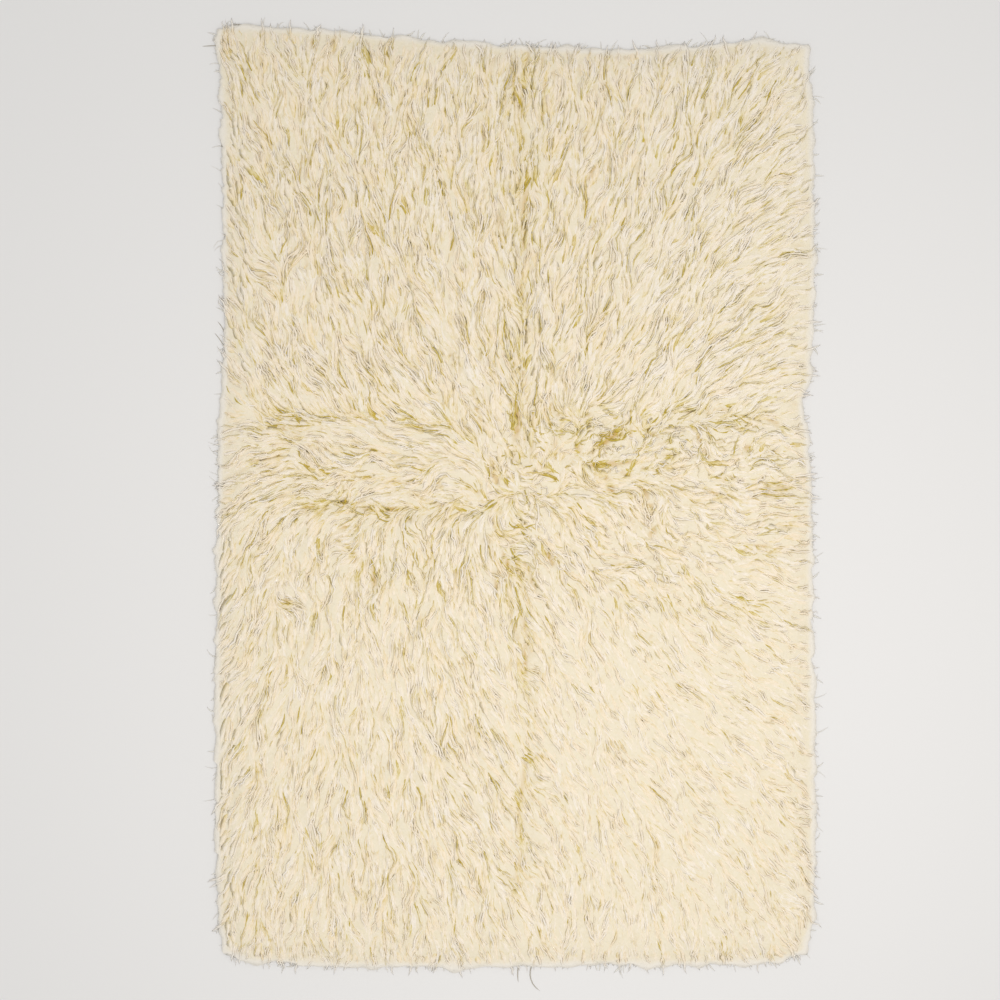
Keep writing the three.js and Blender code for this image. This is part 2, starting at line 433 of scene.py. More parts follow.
@dataclass(frozen=True)
class Fold:
    """A line along which folding has parted the pile.

    depth and half are the trough's depth and half width, and parting says how strongly the locks
    beside the line turn away from it.
    """

    name: str
    depth: float
    half: float
    parting: float
    line: tuple[tuple[float, float], ...]

    def nearest(self, x: Array, y: Array) -> tuple[Array, Array, Array]:
        """The way from the line to each point.

        Args:
            x: The points' X.
            y: The points' Y.

        Returns:
            The distance, and the X and Y of the unit vector from the line.
        """
        best = np.full(x.shape, np.inf)
        away_x, away_y = np.zeros_like(x), np.zeros_like(x)
        for (ax, ay), (bx, by) in zip(self.line, self.line[1:]):
            dx, dy = bx - ax, by - ay
            share = np.clip(((x - ax) * dx + (y - ay) * dy) / (dx * dx + dy * dy), 0.0, 1.0)
            off_x, off_y = x - ax - share * dx, y - ay - share * dy
            off = np.hypot(off_x, off_y)
            nearer = off < best
            best = np.where(nearer, off, best)
            away_x = np.where(nearer, off_x / np.maximum(off, 1e-6), away_x)
            away_y = np.where(nearer, off_y / np.maximum(off, 1e-6), away_y)
        return best, away_x, away_y


FOLDS = (
    Fold("lengthwise, head", 10, 30, 0.25, ((24, 1150), (20, 620), (14, 300), (4, 130))),
    Fold("lengthwise, foot", 8, 30, 0.25, ((4, -50), (22, -330), (36, -620), (20, -980))),
    Fold("left, upper", 7, 24, 0.5, ((-690, 228), (-400, 236), (-130, 190))),
    Fold("left, lower", 12, 28, 0.6, ((-480, -8), (-340, -28), (-90, -14))),
    Fold("right, upper", 8, 30, 0.45, ((90, 225), (300, 178), (480, 226), (690, 214))),
    Fold("right, middle", 6, 26, 0.35, ((120, 20), (230, 82), (400, 88))),
    Fold("right, lower", 5, 24, 0.3, ((210, -250), (450, -276), (690, -268))),
)


@dataclass(frozen=True)
class Tangle:
    """An oval patch in which the locks lie at odds with each other.

    degrees is by how much they differ, and pits is the share of them that lie sunken.
    """

    x: float
    y: float
    half_x: float
    half_y: float
    degrees: float
    pits: float


TANGLES = (
    Tangle(x=30, y=90, half_x=120, half_y=150, degrees=34, pits=0.1),
    Tangle(x=300, y=150, half_x=290, half_y=85, degrees=42, pits=0.17),
    Tangle(x=560, y=120, half_x=170, half_y=90, degrees=32, pits=0.06),
    Tangle(x=430, y=-120, half_x=280, half_y=130, degrees=22, pits=0.03),
    Tangle(x=40, y=-130, half_x=110, half_y=90, degrees=24, pits=0.08),
    Tangle(x=-340, y=40, half_x=330, half_y=100, degrees=12, pits=0.05),
    Tangle(x=-430, y=-180, half_x=260, half_y=110, degrees=16, pits=0.05),
)


@dataclass(frozen=True)
class Crease:
    """A narrow gap between locks, through which the foot of the pile shows, drawn darker and
    ochre in painted shade.

    heading is the compass heading of its length in degrees, and depth is its share of the full
    depth.
    """

    x: float
    y: float
    heading: float
    length: float
    width: float
    depth: float


@dataclass(frozen=True)
class SeenCrease:
    """A crease as it was read off the picture, in pixels: its two ends and its width.

    depth is its share of the full depth.
    """

    x: float
    y: float
    end_x: float
    end_y: float
    width: float
    depth: float

    def placed(self) -> Crease:
        """Works out the crease on the rug, to the nearest millimetre and degree.

        Returns:
            The crease.
        """
        middle_x, middle_y = (self.x + self.end_x) / 2, (self.y + self.end_y) / 2
        across, down = self.end_x - self.x, self.end_y - self.y
        return Crease(
            x=round((middle_x - READ_FROM[0]) * PIXEL),
            y=round((READ_FROM[1] - middle_y) * PIXEL),
            heading=round(math.degrees(math.atan2(across, -down)) % 180),
            length=round(math.hypot(across, down) * PIXEL),
            width=round(self.width * PIXEL),
            depth=self.depth,
        )


# The plainest creases, in the order in which they were read: x, y, end_x, end_y, width, depth.
CREASES = (
    SeenCrease(512, 60, 513, 108, 3, 1.0),
    SeenCrease(526, 45, 522, 90, 3.5, 0.8),
    SeenCrease(544, 72, 541, 118, 4, 0.9),
    SeenCrease(504, 90, 504, 126, 3, 0.7),
    SeenCrease(518, 95, 519, 142, 2.5, 0.6),
    SeenCrease(544, 118, 545, 152, 3.5, 0.7),
    SeenCrease(507, 130, 511, 158, 3, 0.6),
    SeenCrease(514.5, 145, 513, 180, 2.5, 0.7),
    SeenCrease(548, 151.5, 544, 182.5, 2.5, 0.5),
    SeenCrease(517, 176, 519, 214, 3, 0.6),
    SeenCrease(526, 185, 523, 224, 4, 0.8),
    SeenCrease(549, 198, 541, 226, 3, 1.0),
    SeenCrease(505, 184, 503, 220, 3, 0.5),
    SeenCrease(497, 213, 501, 242, 3, 0.9),
    SeenCrease(525, 222, 521, 250, 4, 1.0),
    SeenCrease(590, 158, 592, 184, 2.5, 0.7),
    SeenCrease(595, 214, 590, 236, 2.5, 0.8),
    SeenCrease(449, 80, 459, 110, 2.5, 0.7),
    SeenCrease(464, 166, 465, 206, 3, 0.5),
    SeenCrease(482, 126, 483, 154, 2.5, 0.5),
    SeenCrease(512, 250, 517, 290, 3, 0.6),
    SeenCrease(518, 280, 527, 313, 3.5, 1.0),
    SeenCrease(536, 248, 531, 268, 2.5, 0.7),
    SeenCrease(521, 312, 528, 338, 3, 0.8),
    SeenCrease(535, 310, 538, 334, 3.5, 1.0),
    SeenCrease(500, 312, 507, 338, 3, 0.7),
    SeenCrease(501, 343, 523, 376, 2.5, 0.9),
    SeenCrease(522, 368, 528, 402, 3, 0.6),
    SeenCrease(553, 352, 549, 380, 3, 0.7),
    SeenCrease(488, 364, 493, 382, 2.5, 0.8),
    SeenCrease(508, 374, 512, 394, 4, 0.6),
    SeenCrease(472, 385, 479, 422, 3, 0.7),
    SeenCrease(514, 398, 515, 437, 5.5, 1.0),
    SeenCrease(448, 394, 454, 412, 3, 0.6),
    SeenCrease(562, 408, 592, 414, 4, 0.7),
    SeenCrease(560, 416, 560, 434, 3, 0.8),
    SeenCrease(586, 418, 590, 430, 4, 0.8),
    SeenCrease(530, 414, 532, 432, 4, 0.7),
    SeenCrease(514, 446, 516, 466, 3, 0.7),
    SeenCrease(490, 456, 496, 488, 5, 0.8),
    SeenCrease(503, 486, 510, 502, 4.5, 1.0),
    SeenCrease(457, 484, 479, 491, 2.5, 0.8),
    SeenCrease(404, 489, 450, 508, 3, 0.8),
    SeenCrease(436, 477, 439, 490, 4, 0.8),
    SeenCrease(402, 518, 418, 515, 3, 0.7),
    SeenCrease(486, 503, 500, 511, 4, 0.8),
    SeenCrease(490, 514, 499, 534, 4, 0.7),
    SeenCrease(548, 450, 562, 456, 5, 0.9),
    SeenCrease(543, 462, 551, 471, 4, 0.8),
    SeenCrease(590, 450, 620, 428, 5, 1.0),
    SeenCrease(584, 464, 634, 459, 4, 0.9),
    SeenCrease(598, 468, 613, 484, 4, 0.8),
    SeenCrease(608, 478, 611, 504, 6, 1.0),
    SeenCrease(576, 434, 577, 454, 4, 0.9),
    SeenCrease(540, 504, 556, 499, 4, 0.6),
    SeenCrease(544, 549, 553, 563, 4.5, 0.9),
    SeenCrease(502, 549, 511, 578, 4, 0.9),
    SeenCrease(512, 546, 523, 586, 4, 0.6),
    SeenCrease(521, 555, 537, 592, 4, 0.6),
    SeenCrease(494, 569, 497, 597, 4, 0.7),
    SeenCrease(428, 540, 430, 556, 4, 0.8),
    SeenCrease(519, 508, 525, 528, 4, 0.6),
    SeenCrease(602, 404, 613, 412, 4, 0.6),
    SeenCrease(612, 428, 624, 435, 5, 1.0),
    SeenCrease(640, 415, 652, 411, 4, 0.8),
    SeenCrease(642, 420, 656, 436, 5, 1.0),
    SeenCrease(684, 408, 706, 408, 3, 0.7),
    SeenCrease(716, 408, 732, 409, 3, 0.7),
    SeenCrease(690, 420, 700, 441, 3, 1.0),
    SeenCrease(726, 425, 752, 430, 3, 0.8),
    SeenCrease(745, 444, 751, 449, 6, 1.0),
    SeenCrease(766, 416, 778, 421, 4, 0.6),
    SeenCrease(699, 444, 709, 456, 4, 0.8),
    SeenCrease(640, 465, 656, 469, 3, 0.8),
    SeenCrease(620, 469, 631, 476, 4, 0.7),
    SeenCrease(708, 472, 738, 478, 3, 0.7),
    SeenCrease(702, 485, 730, 499, 3.5, 0.9),
    SeenCrease(760, 482, 788, 486, 4, 0.8),
    SeenCrease(640, 478, 646, 498, 4, 0.9),
    SeenCrease(644, 488, 682, 492, 3, 0.7),
    SeenCrease(645, 502, 655, 513, 5, 0.9),
    SeenCrease(647, 535, 656, 524, 5, 0.7),
    SeenCrease(742, 546, 769, 543, 3.5, 1.0),
    SeenCrease(278, 424, 299, 428, 4, 0.9),
    SeenCrease(244, 427, 276, 425, 3, 0.7),
    SeenCrease(244, 462, 279, 454, 4, 0.8),
    SeenCrease(264, 472, 281, 467, 3, 0.8),
    SeenCrease(286, 436, 318, 436, 3, 0.6),
    SeenCrease(304, 443, 332, 449, 3, 0.6),
    SeenCrease(292, 478, 304, 474, 3, 0.7),
    SeenCrease(335, 484, 350, 494, 4, 0.7),
    SeenCrease(360, 475, 374, 477, 3, 0.7),
    SeenCrease(382, 480, 406, 482, 3, 0.8),
    SeenCrease(300, 505, 321, 504, 4, 1.0),
    SeenCrease(334, 500, 357, 500, 4, 0.9),
    SeenCrease(363, 507, 402, 507, 4, 1.0),
    SeenCrease(306, 515, 319, 512, 4, 0.8),
    SeenCrease(264, 509, 270, 519, 4, 0.7),
    SeenCrease(353, 511, 357, 536, 3, 1.0),
    SeenCrease(339, 525, 353, 525, 3, 0.8),
    SeenCrease(344, 540, 358, 563, 4, 1.0),
    SeenCrease(372, 518, 379, 542, 4, 0.7),
    SeenCrease(371, 552, 374, 588, 4, 0.7),
    SeenCrease(284, 597, 290, 604, 7, 1.0),
    SeenCrease(505, 590, 517, 640, 4, 0.6),
    SeenCrease(520, 610, 530, 650, 4, 0.6),
    SeenCrease(525, 640, 522, 690, 4, 0.7),
    SeenCrease(516, 660, 530, 700, 4, 0.6),
    SeenCrease(524, 760, 520, 800, 4, 0.6),
    SeenCrease(515, 800, 522, 850, 4, 0.6),
    SeenCrease(520, 845, 512, 900, 3.5, 0.5),
    SeenCrease(342, 60, 344, 88, 4.5, 0.7),
    SeenCrease(371, 88, 377, 106, 4, 0.7),
    SeenCrease(384, 60, 388, 80, 4, 0.7),
    SeenCrease(411, 62, 415, 92, 4.5, 0.7),
    SeenCrease(310, 34, 312, 48, 4, 0.7),
    SeenCrease(331, 33, 333, 52, 4, 0.7),
)


# The pile grows calmer over this width at the sides, and between these places towards the foot
# and towards the right.
CALM_SIDE = 110.0
CALM_FOOT = (-420.0, 60.0)
CALM_RIGHT = (-150.0, 250.0)
# By what share it is calmer at the foot, and by how much more at the foot's right.
CALMER_FOOT = 0.35
CALMER_RIGHT = 0.4


def partly(share: Array) -> Array:
    """Tones a measure down to 0.4 of itself where the share is 0, and not at all where it is 1."""
    return 0.4 + 0.6 * share


def lively(x: Array, y: Array) -> Array:
    """How unevenly the pile lies: 1 in the head's half, less to the foot's right and the sides.

    Args:
        x: The points' X.
        y: The points' Y.

    Returns:
        Shares from 0 to 1.
    """
    low = 1.0 - ease(*CALM_FOOT, y)
    even = partly(ease(0.0, CALM_SIDE, OUTLINE.reach(x, y)[0] - np.abs(x)))
    return even * (1.0 - low * (CALMER_FOOT + CALMER_RIGHT * ease(*CALM_RIGHT, x)))


class Grid:
    """An even grid of points over the rug and its rim."""

    low_x: float = -840.0
    low_y: float = -1270.0

    def __init__(self, step: float) -> None:
        """Lays the points out.

        Args:
            step: The distance between neighbours.
        """
        self.step = step
        xs = np.arange(self.low_x, -self.low_x + step, step)
        ys = np.arange(self.low_y, -self.low_y + step, step)
        self.x, self.y = np.meshgrid(xs, ys, indexing="ij")

    def place(self, x: Array, y: Array) -> tuple[Array, Array]:
        """Where points lie in the grid, in steps from its corner.

        Args:
            x: The points' X.
            y: The points' Y.

        Returns:
            The steps across and along.
        """
        return (x - self.low_x) / self.step, (y - self.low_y) / self.step

    def near(self, x: float, y: float, reach: int) -> tuple[slice, slice]:
        """The part of the grid around a point.

        Args:
            x: The point's X.
            y: The point's Y.
            reach: How many steps it goes to each side.

        Returns:
            The part's columns and rows.
        """
        i, j = (int(steps) for steps in self.place(x, y))
        return slice(max(i - reach, 0), i + reach + 1), slice(max(j - reach, 0), j + reach + 1)


@dataclass
class CreaseMap:
    """How deep all the creases are, on an even grid: the plainest ones and many slight ones."""

    count: int = 1100
    length: tuple[float, float] = (26.0, 72.0)
    width: tuple[float, float] = (4.0, 9.0)
    depth: tuple[float, float] = (0.15, 0.5)
    heading_stray: float = 7.0
    # How far around a crease the grid is cut: this share of its size, and this many steps more.
    cut_share: float = 0.8
    cut_more: int = 4
    step: float = 2.5
    seed: int = 17

    def __post_init__(self) -> None:
        """Works the grid out."""
        self.grid = Grid(self.step)
        self.depths = np.zeros_like(self.grid.x)
        seen = [crease.placed() for crease in CREASES]
        for crease in (*seen, *self.slight()):
            self.cut(crease)

    def slight(self) -> list[Crease]:
        """Draws the slight creases, along the lie and fewer where the pile lies evenly."""
        rng = np.random.default_rng(self.seed)
        x = rng.uniform(-OUTLINE.half_width, OUTLINE.half_width, self.count)
        y = rng.uniform(-OUTLINE.half_length, OUTLINE.half_length, self.count)
        kept = rng.random(self.count) < lively(x, y)
        stray = rng.normal(0.0, self.heading_stray, self.count)
        heading = 90.0 - np.degrees(LIE.course(x, y)) + stray
        length = rng.uniform(*self.length, self.count)
        width = rng.uniform(*self.width, self.count)
        depth = rng.uniform(*self.depth, self.count) * partly(lively(x, y))
        rows = np.stack([x, y, heading, length, width, depth], 1)[kept]
        return [Crease(*row) for row in rows]

    def cut(self, crease: Crease) -> None:
        """Adds one crease to the grid.

        Args:
            crease: The crease.
        """
        size = max(crease.length, crease.width)
        reach = int(self.cut_share * size / self.step) + self.cut_more
        near = self.grid.near(crease.x, crease.y, reach)
        east, north = math.sin(math.radians(crease.heading)), math.cos(math.radians(crease.heading))
        dx, dy = self.grid.x[near] - crease.x, self.grid.y[near] - crease.y
        along = (dx * east + dy * north) / (0.5 * crease.length)
        across = (dx * north - dy * east) / (0.5 * crease.width)
        lens = crease.depth * np.exp(-(along**4) - across * across)
        self.depths[near] = np.maximum(self.depths[near], lens)

    def at(self, x: Array, y: Array) -> Array:
        """The depth at each point, from the grid's nearest one.

        Args:
            x: The points' X.
            y: The points' Y.

        Returns:
            Shares of the full depth.
        """
        i, j = (np.round(steps) for steps in self.grid.place(x, y))
        i = np.clip(i, 0, self.depths.shape[0] - 1).astype(int)
        j = np.clip(j, 0, self.depths.shape[1] - 1).astype(int)
        return self.depths[i, j]


@dataclass
class PileTop:
    """The height of the top of the lying pile, on an even grid over the rug and its rim."""

    full: float = 35.0
    edge: float = 14.0
    floor: float = 9.0
    slope: float = 75.0
    overhang: float = 24.0
    lump_pitch_x: float = 62.0
    lump_pitch_y: float = 88.0
    lump_half_across: float = 23.0
    lump_half_along: float = 62.0
    lump_least: float = 5.0
    lump_most: float = 10.5
    # How far a mound may lie off its place, as a share of the pitch.
    lump_stray: float = 0.25
    step: float = 6.0
    seed: int = 11

    def __post_init__(self) -> None:
        """Works the grid out."""
        self.grid = Grid(self.step)
        self.height = self.heights()
        self.creases = CreaseMap()

    def lumps(self) -> Array:
        """The long low mounds of locks, as their rise over the grid."""
        rng = np.random.default_rng(self.seed)
        rise = np.zeros_like(self.grid.x)
        rows = math.ceil(OUTLINE.half_length / self.lump_pitch_y)
        columns = math.ceil(OUTLINE.half_width / self.lump_pitch_x)
        reach = int(2 * self.lump_half_along / self.step)
        for j in range(-rows, rows + 1):
            for i in range(-columns, columns + 1):
                stray_x, stray_y = rng.uniform(-self.lump_stray, self.lump_stray, 2)
                most = rng.uniform(self.lump_least, self.lump_most)
                x = (i + (j % 2) / 2 + stray_x) * self.lump_pitch_x
                y = (j + stray_y) * self.lump_pitch_y
                east, north = LIE.towards(np.array([x]), np.array([y]))
                near = self.grid.near(x, y, reach)
                dx, dy = self.grid.x[near] - x, self.grid.y[near] - y
                along = (dx * east + dy * north) / self.lump_half_along
                across = (dx * north - dy * east) / self.lump_half_across
                mound = most * np.exp(-along * along - across * across)
                rise[near] = np.maximum(rise[near], mound)
        return rise - self.lump_least

    def heights(self) -> Array:
        """The whole height, with mounds, folds, the border's slope and the fall to the floor."""
        inside = OUTLINE.inside(self.grid.x, self.grid.y)
        border = np.sin((math.pi / 2) * np.clip(inside / self.slope, 0.0, 1.0))
        dip = np.zeros_like(border)
        for fold in FOLDS:
            share = fold.nearest(self.grid.x, self.grid.y)[0] / fold.half
            dip = np.maximum(dip, fold.depth * np.exp(-share * share))
        top = self.edge + (self.full - self.edge + self.lumps() - dip) * border
        fall = np.clip(1.0 + inside / self.overhang, 0.0, 1.0)
        return np.where(inside < 0, self.floor + (self.edge - self.floor) * fall, top)

    def at(self, x: Array, y: Array) -> Array:
        """The height at each point, between the grid's points.

        Args:
            x: The points' X.
            y: The points' Y.

        Returns:
            The heights.
        """
        gi, gj = self.grid.place(x, y)
        gi = np.clip(gi, 0, self.height.shape[0] - 1.001)
        gj = np.clip(gj, 0, self.height.shape[1] - 1.001)
        i, j = gi.astype(int), gj.astype(int)
        s, t = gi - i, gj - j
        low = self.height[i, j] * (1 - s) + self.height[i + 1, j] * s
        high = self.height[i, j + 1] * (1 - s) + self.height[i + 1, j + 1] * s
        return low * (1 - t) + high * t


@dataclass
class Locks:
    """The locks of the pile: bundles of yarn ends that felting has drawn together.

    The rows and columns are those of the locks' middles, so that the pile covers the rug evenly
    also where its lie parts.
    """

    pitch: float = 17.0
    length: float = 104.0
    length_spread: float = 12.0
    rim_reach: tuple[float, float] = (10.0, 22.0)
    rim_width: float = 26.0
    length_limits: tuple[float, float] = (66.0, 136.0)
    least_reach: float = 40.0
    least_outward: float = 0.3
    # How far a lock may lie off its place in the rows, as a share of the pitch.
    off_place: float = 0.4
    # By how many degrees the locks stray and bend, and by how much more for each of a tangle's
    # degrees.
    stray: float = 4.0
    tangle_stray: float = 0.5
    plain_bend: float = 8.0
    tangle_bend: float = 2.6
    # The parts of the bend that neighbours share and that each lock has alone.
    curl_drift: float = 0.8
    curl_own: float = 0.6
    # By what share each of a tangle's degrees makes a lock shorter.
    tangle_shorter: float = 0.008
    # How far from a fold it still turns the locks, in half widths, and its most as a share of
    # the fold's parting.
    fold_reach: float = 1.2
    fold_pull_most: float = 1.3
    rim_pull: float = 0.3
    # The shares of the locks that lie sunken, and by how many millimetres.
    sunken_share: float = 0.03
    sunken_at_fold: float = 0.12
    sunken_drop: float = 1.3
    lift_drift: float = 0.5
    lift_own: float = 0.6
    # The tint runs from straw at 0 to milky at 1.
    tint_plain: float = 0.5
    tint_right: float = 0.3
    milky_x: tuple[float, float] = (100.0, 500.0)
    milky_y: tuple[float, float] = (-100.0, 300.0)
    tint_drift: float = 0.2
    tint_own: float = 0.16
    steps: int = 16
    middle_step: int = 9
    seed: int = 23

    def __post_init__(self) -> None:
        """Places the locks and works out the line that each one follows."""
        rng = np.random.default_rng(self.seed)
        self.place(rng)
        self.turn(rng)
        self.trace()

    def place(self, rng: np.random.Generator) -> None:
        """Sets the locks' middles in staggered rows, each a little off its place.

        Args:
            rng: The draw.
        """
        columns = int(2 * OUTLINE.half_width / self.pitch)
        rows = int(2 * OUTLINE.half_length / self.pitch)
        i, j = np.meshgrid(np.arange(columns), np.arange(rows), indexing="ij")
        i, j = i.ravel().astype(float), j.ravel().astype(float)
        # Every other row is shifted by half a pitch.
        i += 0.25 + 0.5 * (j % 2) + rng.uniform(-self.off_place, self.off_place, len(i))
        j += 0.5 + rng.uniform(-self.off_place, self.off_place, len(j))
        self.u = np.clip(2 * i / (columns + 0.5) - 1, -1, 1)
        self.v = np.clip(2 * j / rows - 1, -1, 1)
        self.x, self.y = OUTLINE.point(self.u, self.v)
        self.count = len(self.x)

    def turn(self, rng: np.random.Generator) -> None:
        """Turns each lock to the lie, with its own stray, bend, wave, length and rise.

        Args:
            rng: The draw.
        """
        x, y, count = self.x, self.y, self.count
        east, north = LIE.towards(x, y)
        self.near_fold = np.zeros(count)
        for fold in FOLDS:
            off, away_x, away_y = fold.nearest(x, y)
            pull = fold.parting * np.exp(-((off / (self.fold_reach * fold.half)) ** 2))
            pull = pull * rng.uniform(0.0, self.fold_pull_most, count)
            east, north = east + pull * away_x, north + pull * away_y
            self.near_fold = np.maximum(self.near_fold, np.exp(-((off / fold.half) ** 2)))
        self.inside = OUTLINE.inside(x, y)
        out_x, out_y = OUTLINE.outwards(x, y)
        rim = self.rim_pull * np.exp(-np.maximum(self.inside, 0.0) / self.rim_width)
        east, north = east + rim * out_x, north + rim * out_y

        self.tangle, pits = np.zeros(count), np.zeros(count)
        for patch in TANGLES:
            share = ((x - patch.x) / patch.half_x) ** 2 + ((y - patch.y) / patch.half_y) ** 2
            self.tangle = np.maximum(self.tangle, patch.degrees * np.exp(-share * share))
            pits = np.maximum(pits, patch.pits * np.exp(-share * share))
        plain_east, plain_north = LIE.towards(x, y)
        turned = np.arctan2(north, east) - np.arctan2(plain_north, plain_east)
        turned = np.arctan2(np.sin(turned), np.cos(turned))
        stray = (self.stray + self.tangle_stray * self.tangle) * rng.normal(0.0, 1.0, count)
        self.turned = turned + np.radians(stray)
        self.heading = LIE.course(x, y) + self.turned
        curl = self.curl_drift * Drift(5, 60.0).at(x, y)
        curl = curl + self.curl_own * rng.normal(0.0, 1.0, count)
        self.bend = np.radians((self.plain_bend + self.tangle_bend * self.tangle) * curl)

        lively_here = lively(x, y)
        sunken = self.sunken_share * lively_here + self.sunken_at_fold * self.near_fold + pits
        self.sunken = rng.random(count) < sunken
        self.lift = self.lift_drift * Drift(6, 70.0).at(x, y)
        self.lift = self.lift + rng.normal(0.0, self.lift_own, count)
        self.lift = self.lift * partly(lively_here) - self.sunken_drop * self.sunken
        length = np.clip(rng.normal(self.length, self.length_spread, count), *self.length_limits)
        length = length * (1.0 - self.tangle_shorter * self.tangle)
        outward = np.cos(self.heading) * out_x + np.sin(self.heading) * out_y
        past_middle = 1.0 - self.middle_step / self.steps
        room = np.maximum(self.inside, 0.0) + rng.uniform(*self.rim_reach, count)
        room = np.maximum(room / past_middle, self.least_reach)
        self.reach = np.minimum(length, room / outward.clip(self.least_outward))
        milky = self.tint_right * ease(*self.milky_x, x) * ease(*self.milky_y, y)
        tint = self.tint_plain + milky + self.tint_drift * Drift(7, 90.0).at(x, y)
        tint = tint + rng.normal(0.0, self.tint_own, count)
        self.tint = np.clip(tint, 0.0, 1.0)

    def trace(self) -> None:
        """Works out each lock's line in plan, from its middle to its tip and to its root."""
        size = (self.steps + 1, self.count)
        xs, ys, angles = np.empty(size), np.empty(size), np.empty(size)
        to_tip = range(self.middle_step, self.steps + 1)
        to_root = range(self.middle_step, -1, -1)
        for way, stops in ((1, to_tip), (-1, to_root)):
            x, y = self.x, self.y
            for k in stops:
                bend = self.bend * (k - self.middle_step) / self.steps
                angle = LIE.course(x, y) + self.turned + bend
                xs[k], ys[k], angles[k] = x, y, angle
                x = x + way * np.cos(angle) * self.reach / self.steps
                y = y + way * np.sin(angle) * self.reach / self.steps
        self.line_x, self.line_y = xs.T, ys.T
        self.angle = np.unwrap(angles.T, axis=1)

    def along(self, lock: Array, share: Array) -> tuple[Array, Array, Array]:
        """The lines of some locks at some shares of their length.

        Args:
            lock: The locks' numbers, one for each row of share.
            share: Shares from 0 to a little over 1.

        Returns:
            X, Y and the heading there.
        """
        place = np.clip(share, 0.0, 1.0) * self.steps
        low = np.minimum(place.astype(int), self.steps - 1)
        part = place - low
        rows = lock[:, None]
        x = self.line_x[rows, low] * (1 - part) + self.line_x[rows, low + 1] * part
        y = self.line_y[rows, low] * (1 - part) + self.line_y[rows, low + 1] * part
        angle = self.angle[rows, low] * (1 - part) + self.angle[rows, low + 1] * part
        past = np.maximum(share - 1.0, 0.0) * self.reach[rows]
        return x + np.cos(angle) * past, y + np.sin(angle) * past, angle


@dataclass(frozen=True)
class Station:
    """A place along a strand: its share of the length, and the strand's share of its width."""

    along: float
    width: float


@dataclass(frozen=True)
class Shape:
    """The shape of a strand of wool.

    section holds the points round it, as shares of half its width and of its height, and light is
    the painted shade at each of them: how much darker its colour is drawn than the colour along the
    strand, so that the lower edges read as shaded.
    """

    stations: tuple[Station, ...]
    light: tuple[float, ...] = (0.0, 0.0, 0.0)
    section: tuple[tuple[float, float], ...] = ((-1.0, 0.0), (1.0, 0.0), (0.0, 1.0))

    def alongs(self) -> Array:
        """The stations' shares of the length, as one row."""
        return np.array([station.along for station in self.stations])[None, :]


LOCK_SHAPE = Shape(
    stations=(
        Station(0.0, 0.6),
        Station(0.32, 0.95),
        Station(0.54, 1.0),
        Station(0.72, 0.86),
        Station(0.88, 0.5),
        Station(1.0, 0.0),
    ),
    # Painted shade: the lower edges of a lock are drawn darker and yellower.
    light=(-0.36, -0.36, 0.0),
)
YARN_SHAPE = Shape(
    stations=(
        Station(0.0, 0.85),
        Station(0.12, 1.0),
        Station(0.24, 1.0),
        Station(0.36, 1.0),
        Station(0.48, 1.0),
        Station(0.6, 1.0),
        Station(0.7, 0.95),
        Station(0.8, 0.85),
        Station(0.9, 0.6),
        Station(1.0, 0.0),
    ),
    # Painted shade: the lower edges of a yarn end are drawn darker and yellower.
    light=(-0.25, -0.25, 0.0),
)
WISP_SHAPE = Shape(
    stations=(
        Station(0.0, 1.0),
        Station(0.35, 1.0),
        Station(0.6, 0.9),
        Station(0.82, 0.6),
        Station(1.0, 0.0),
    ),
)


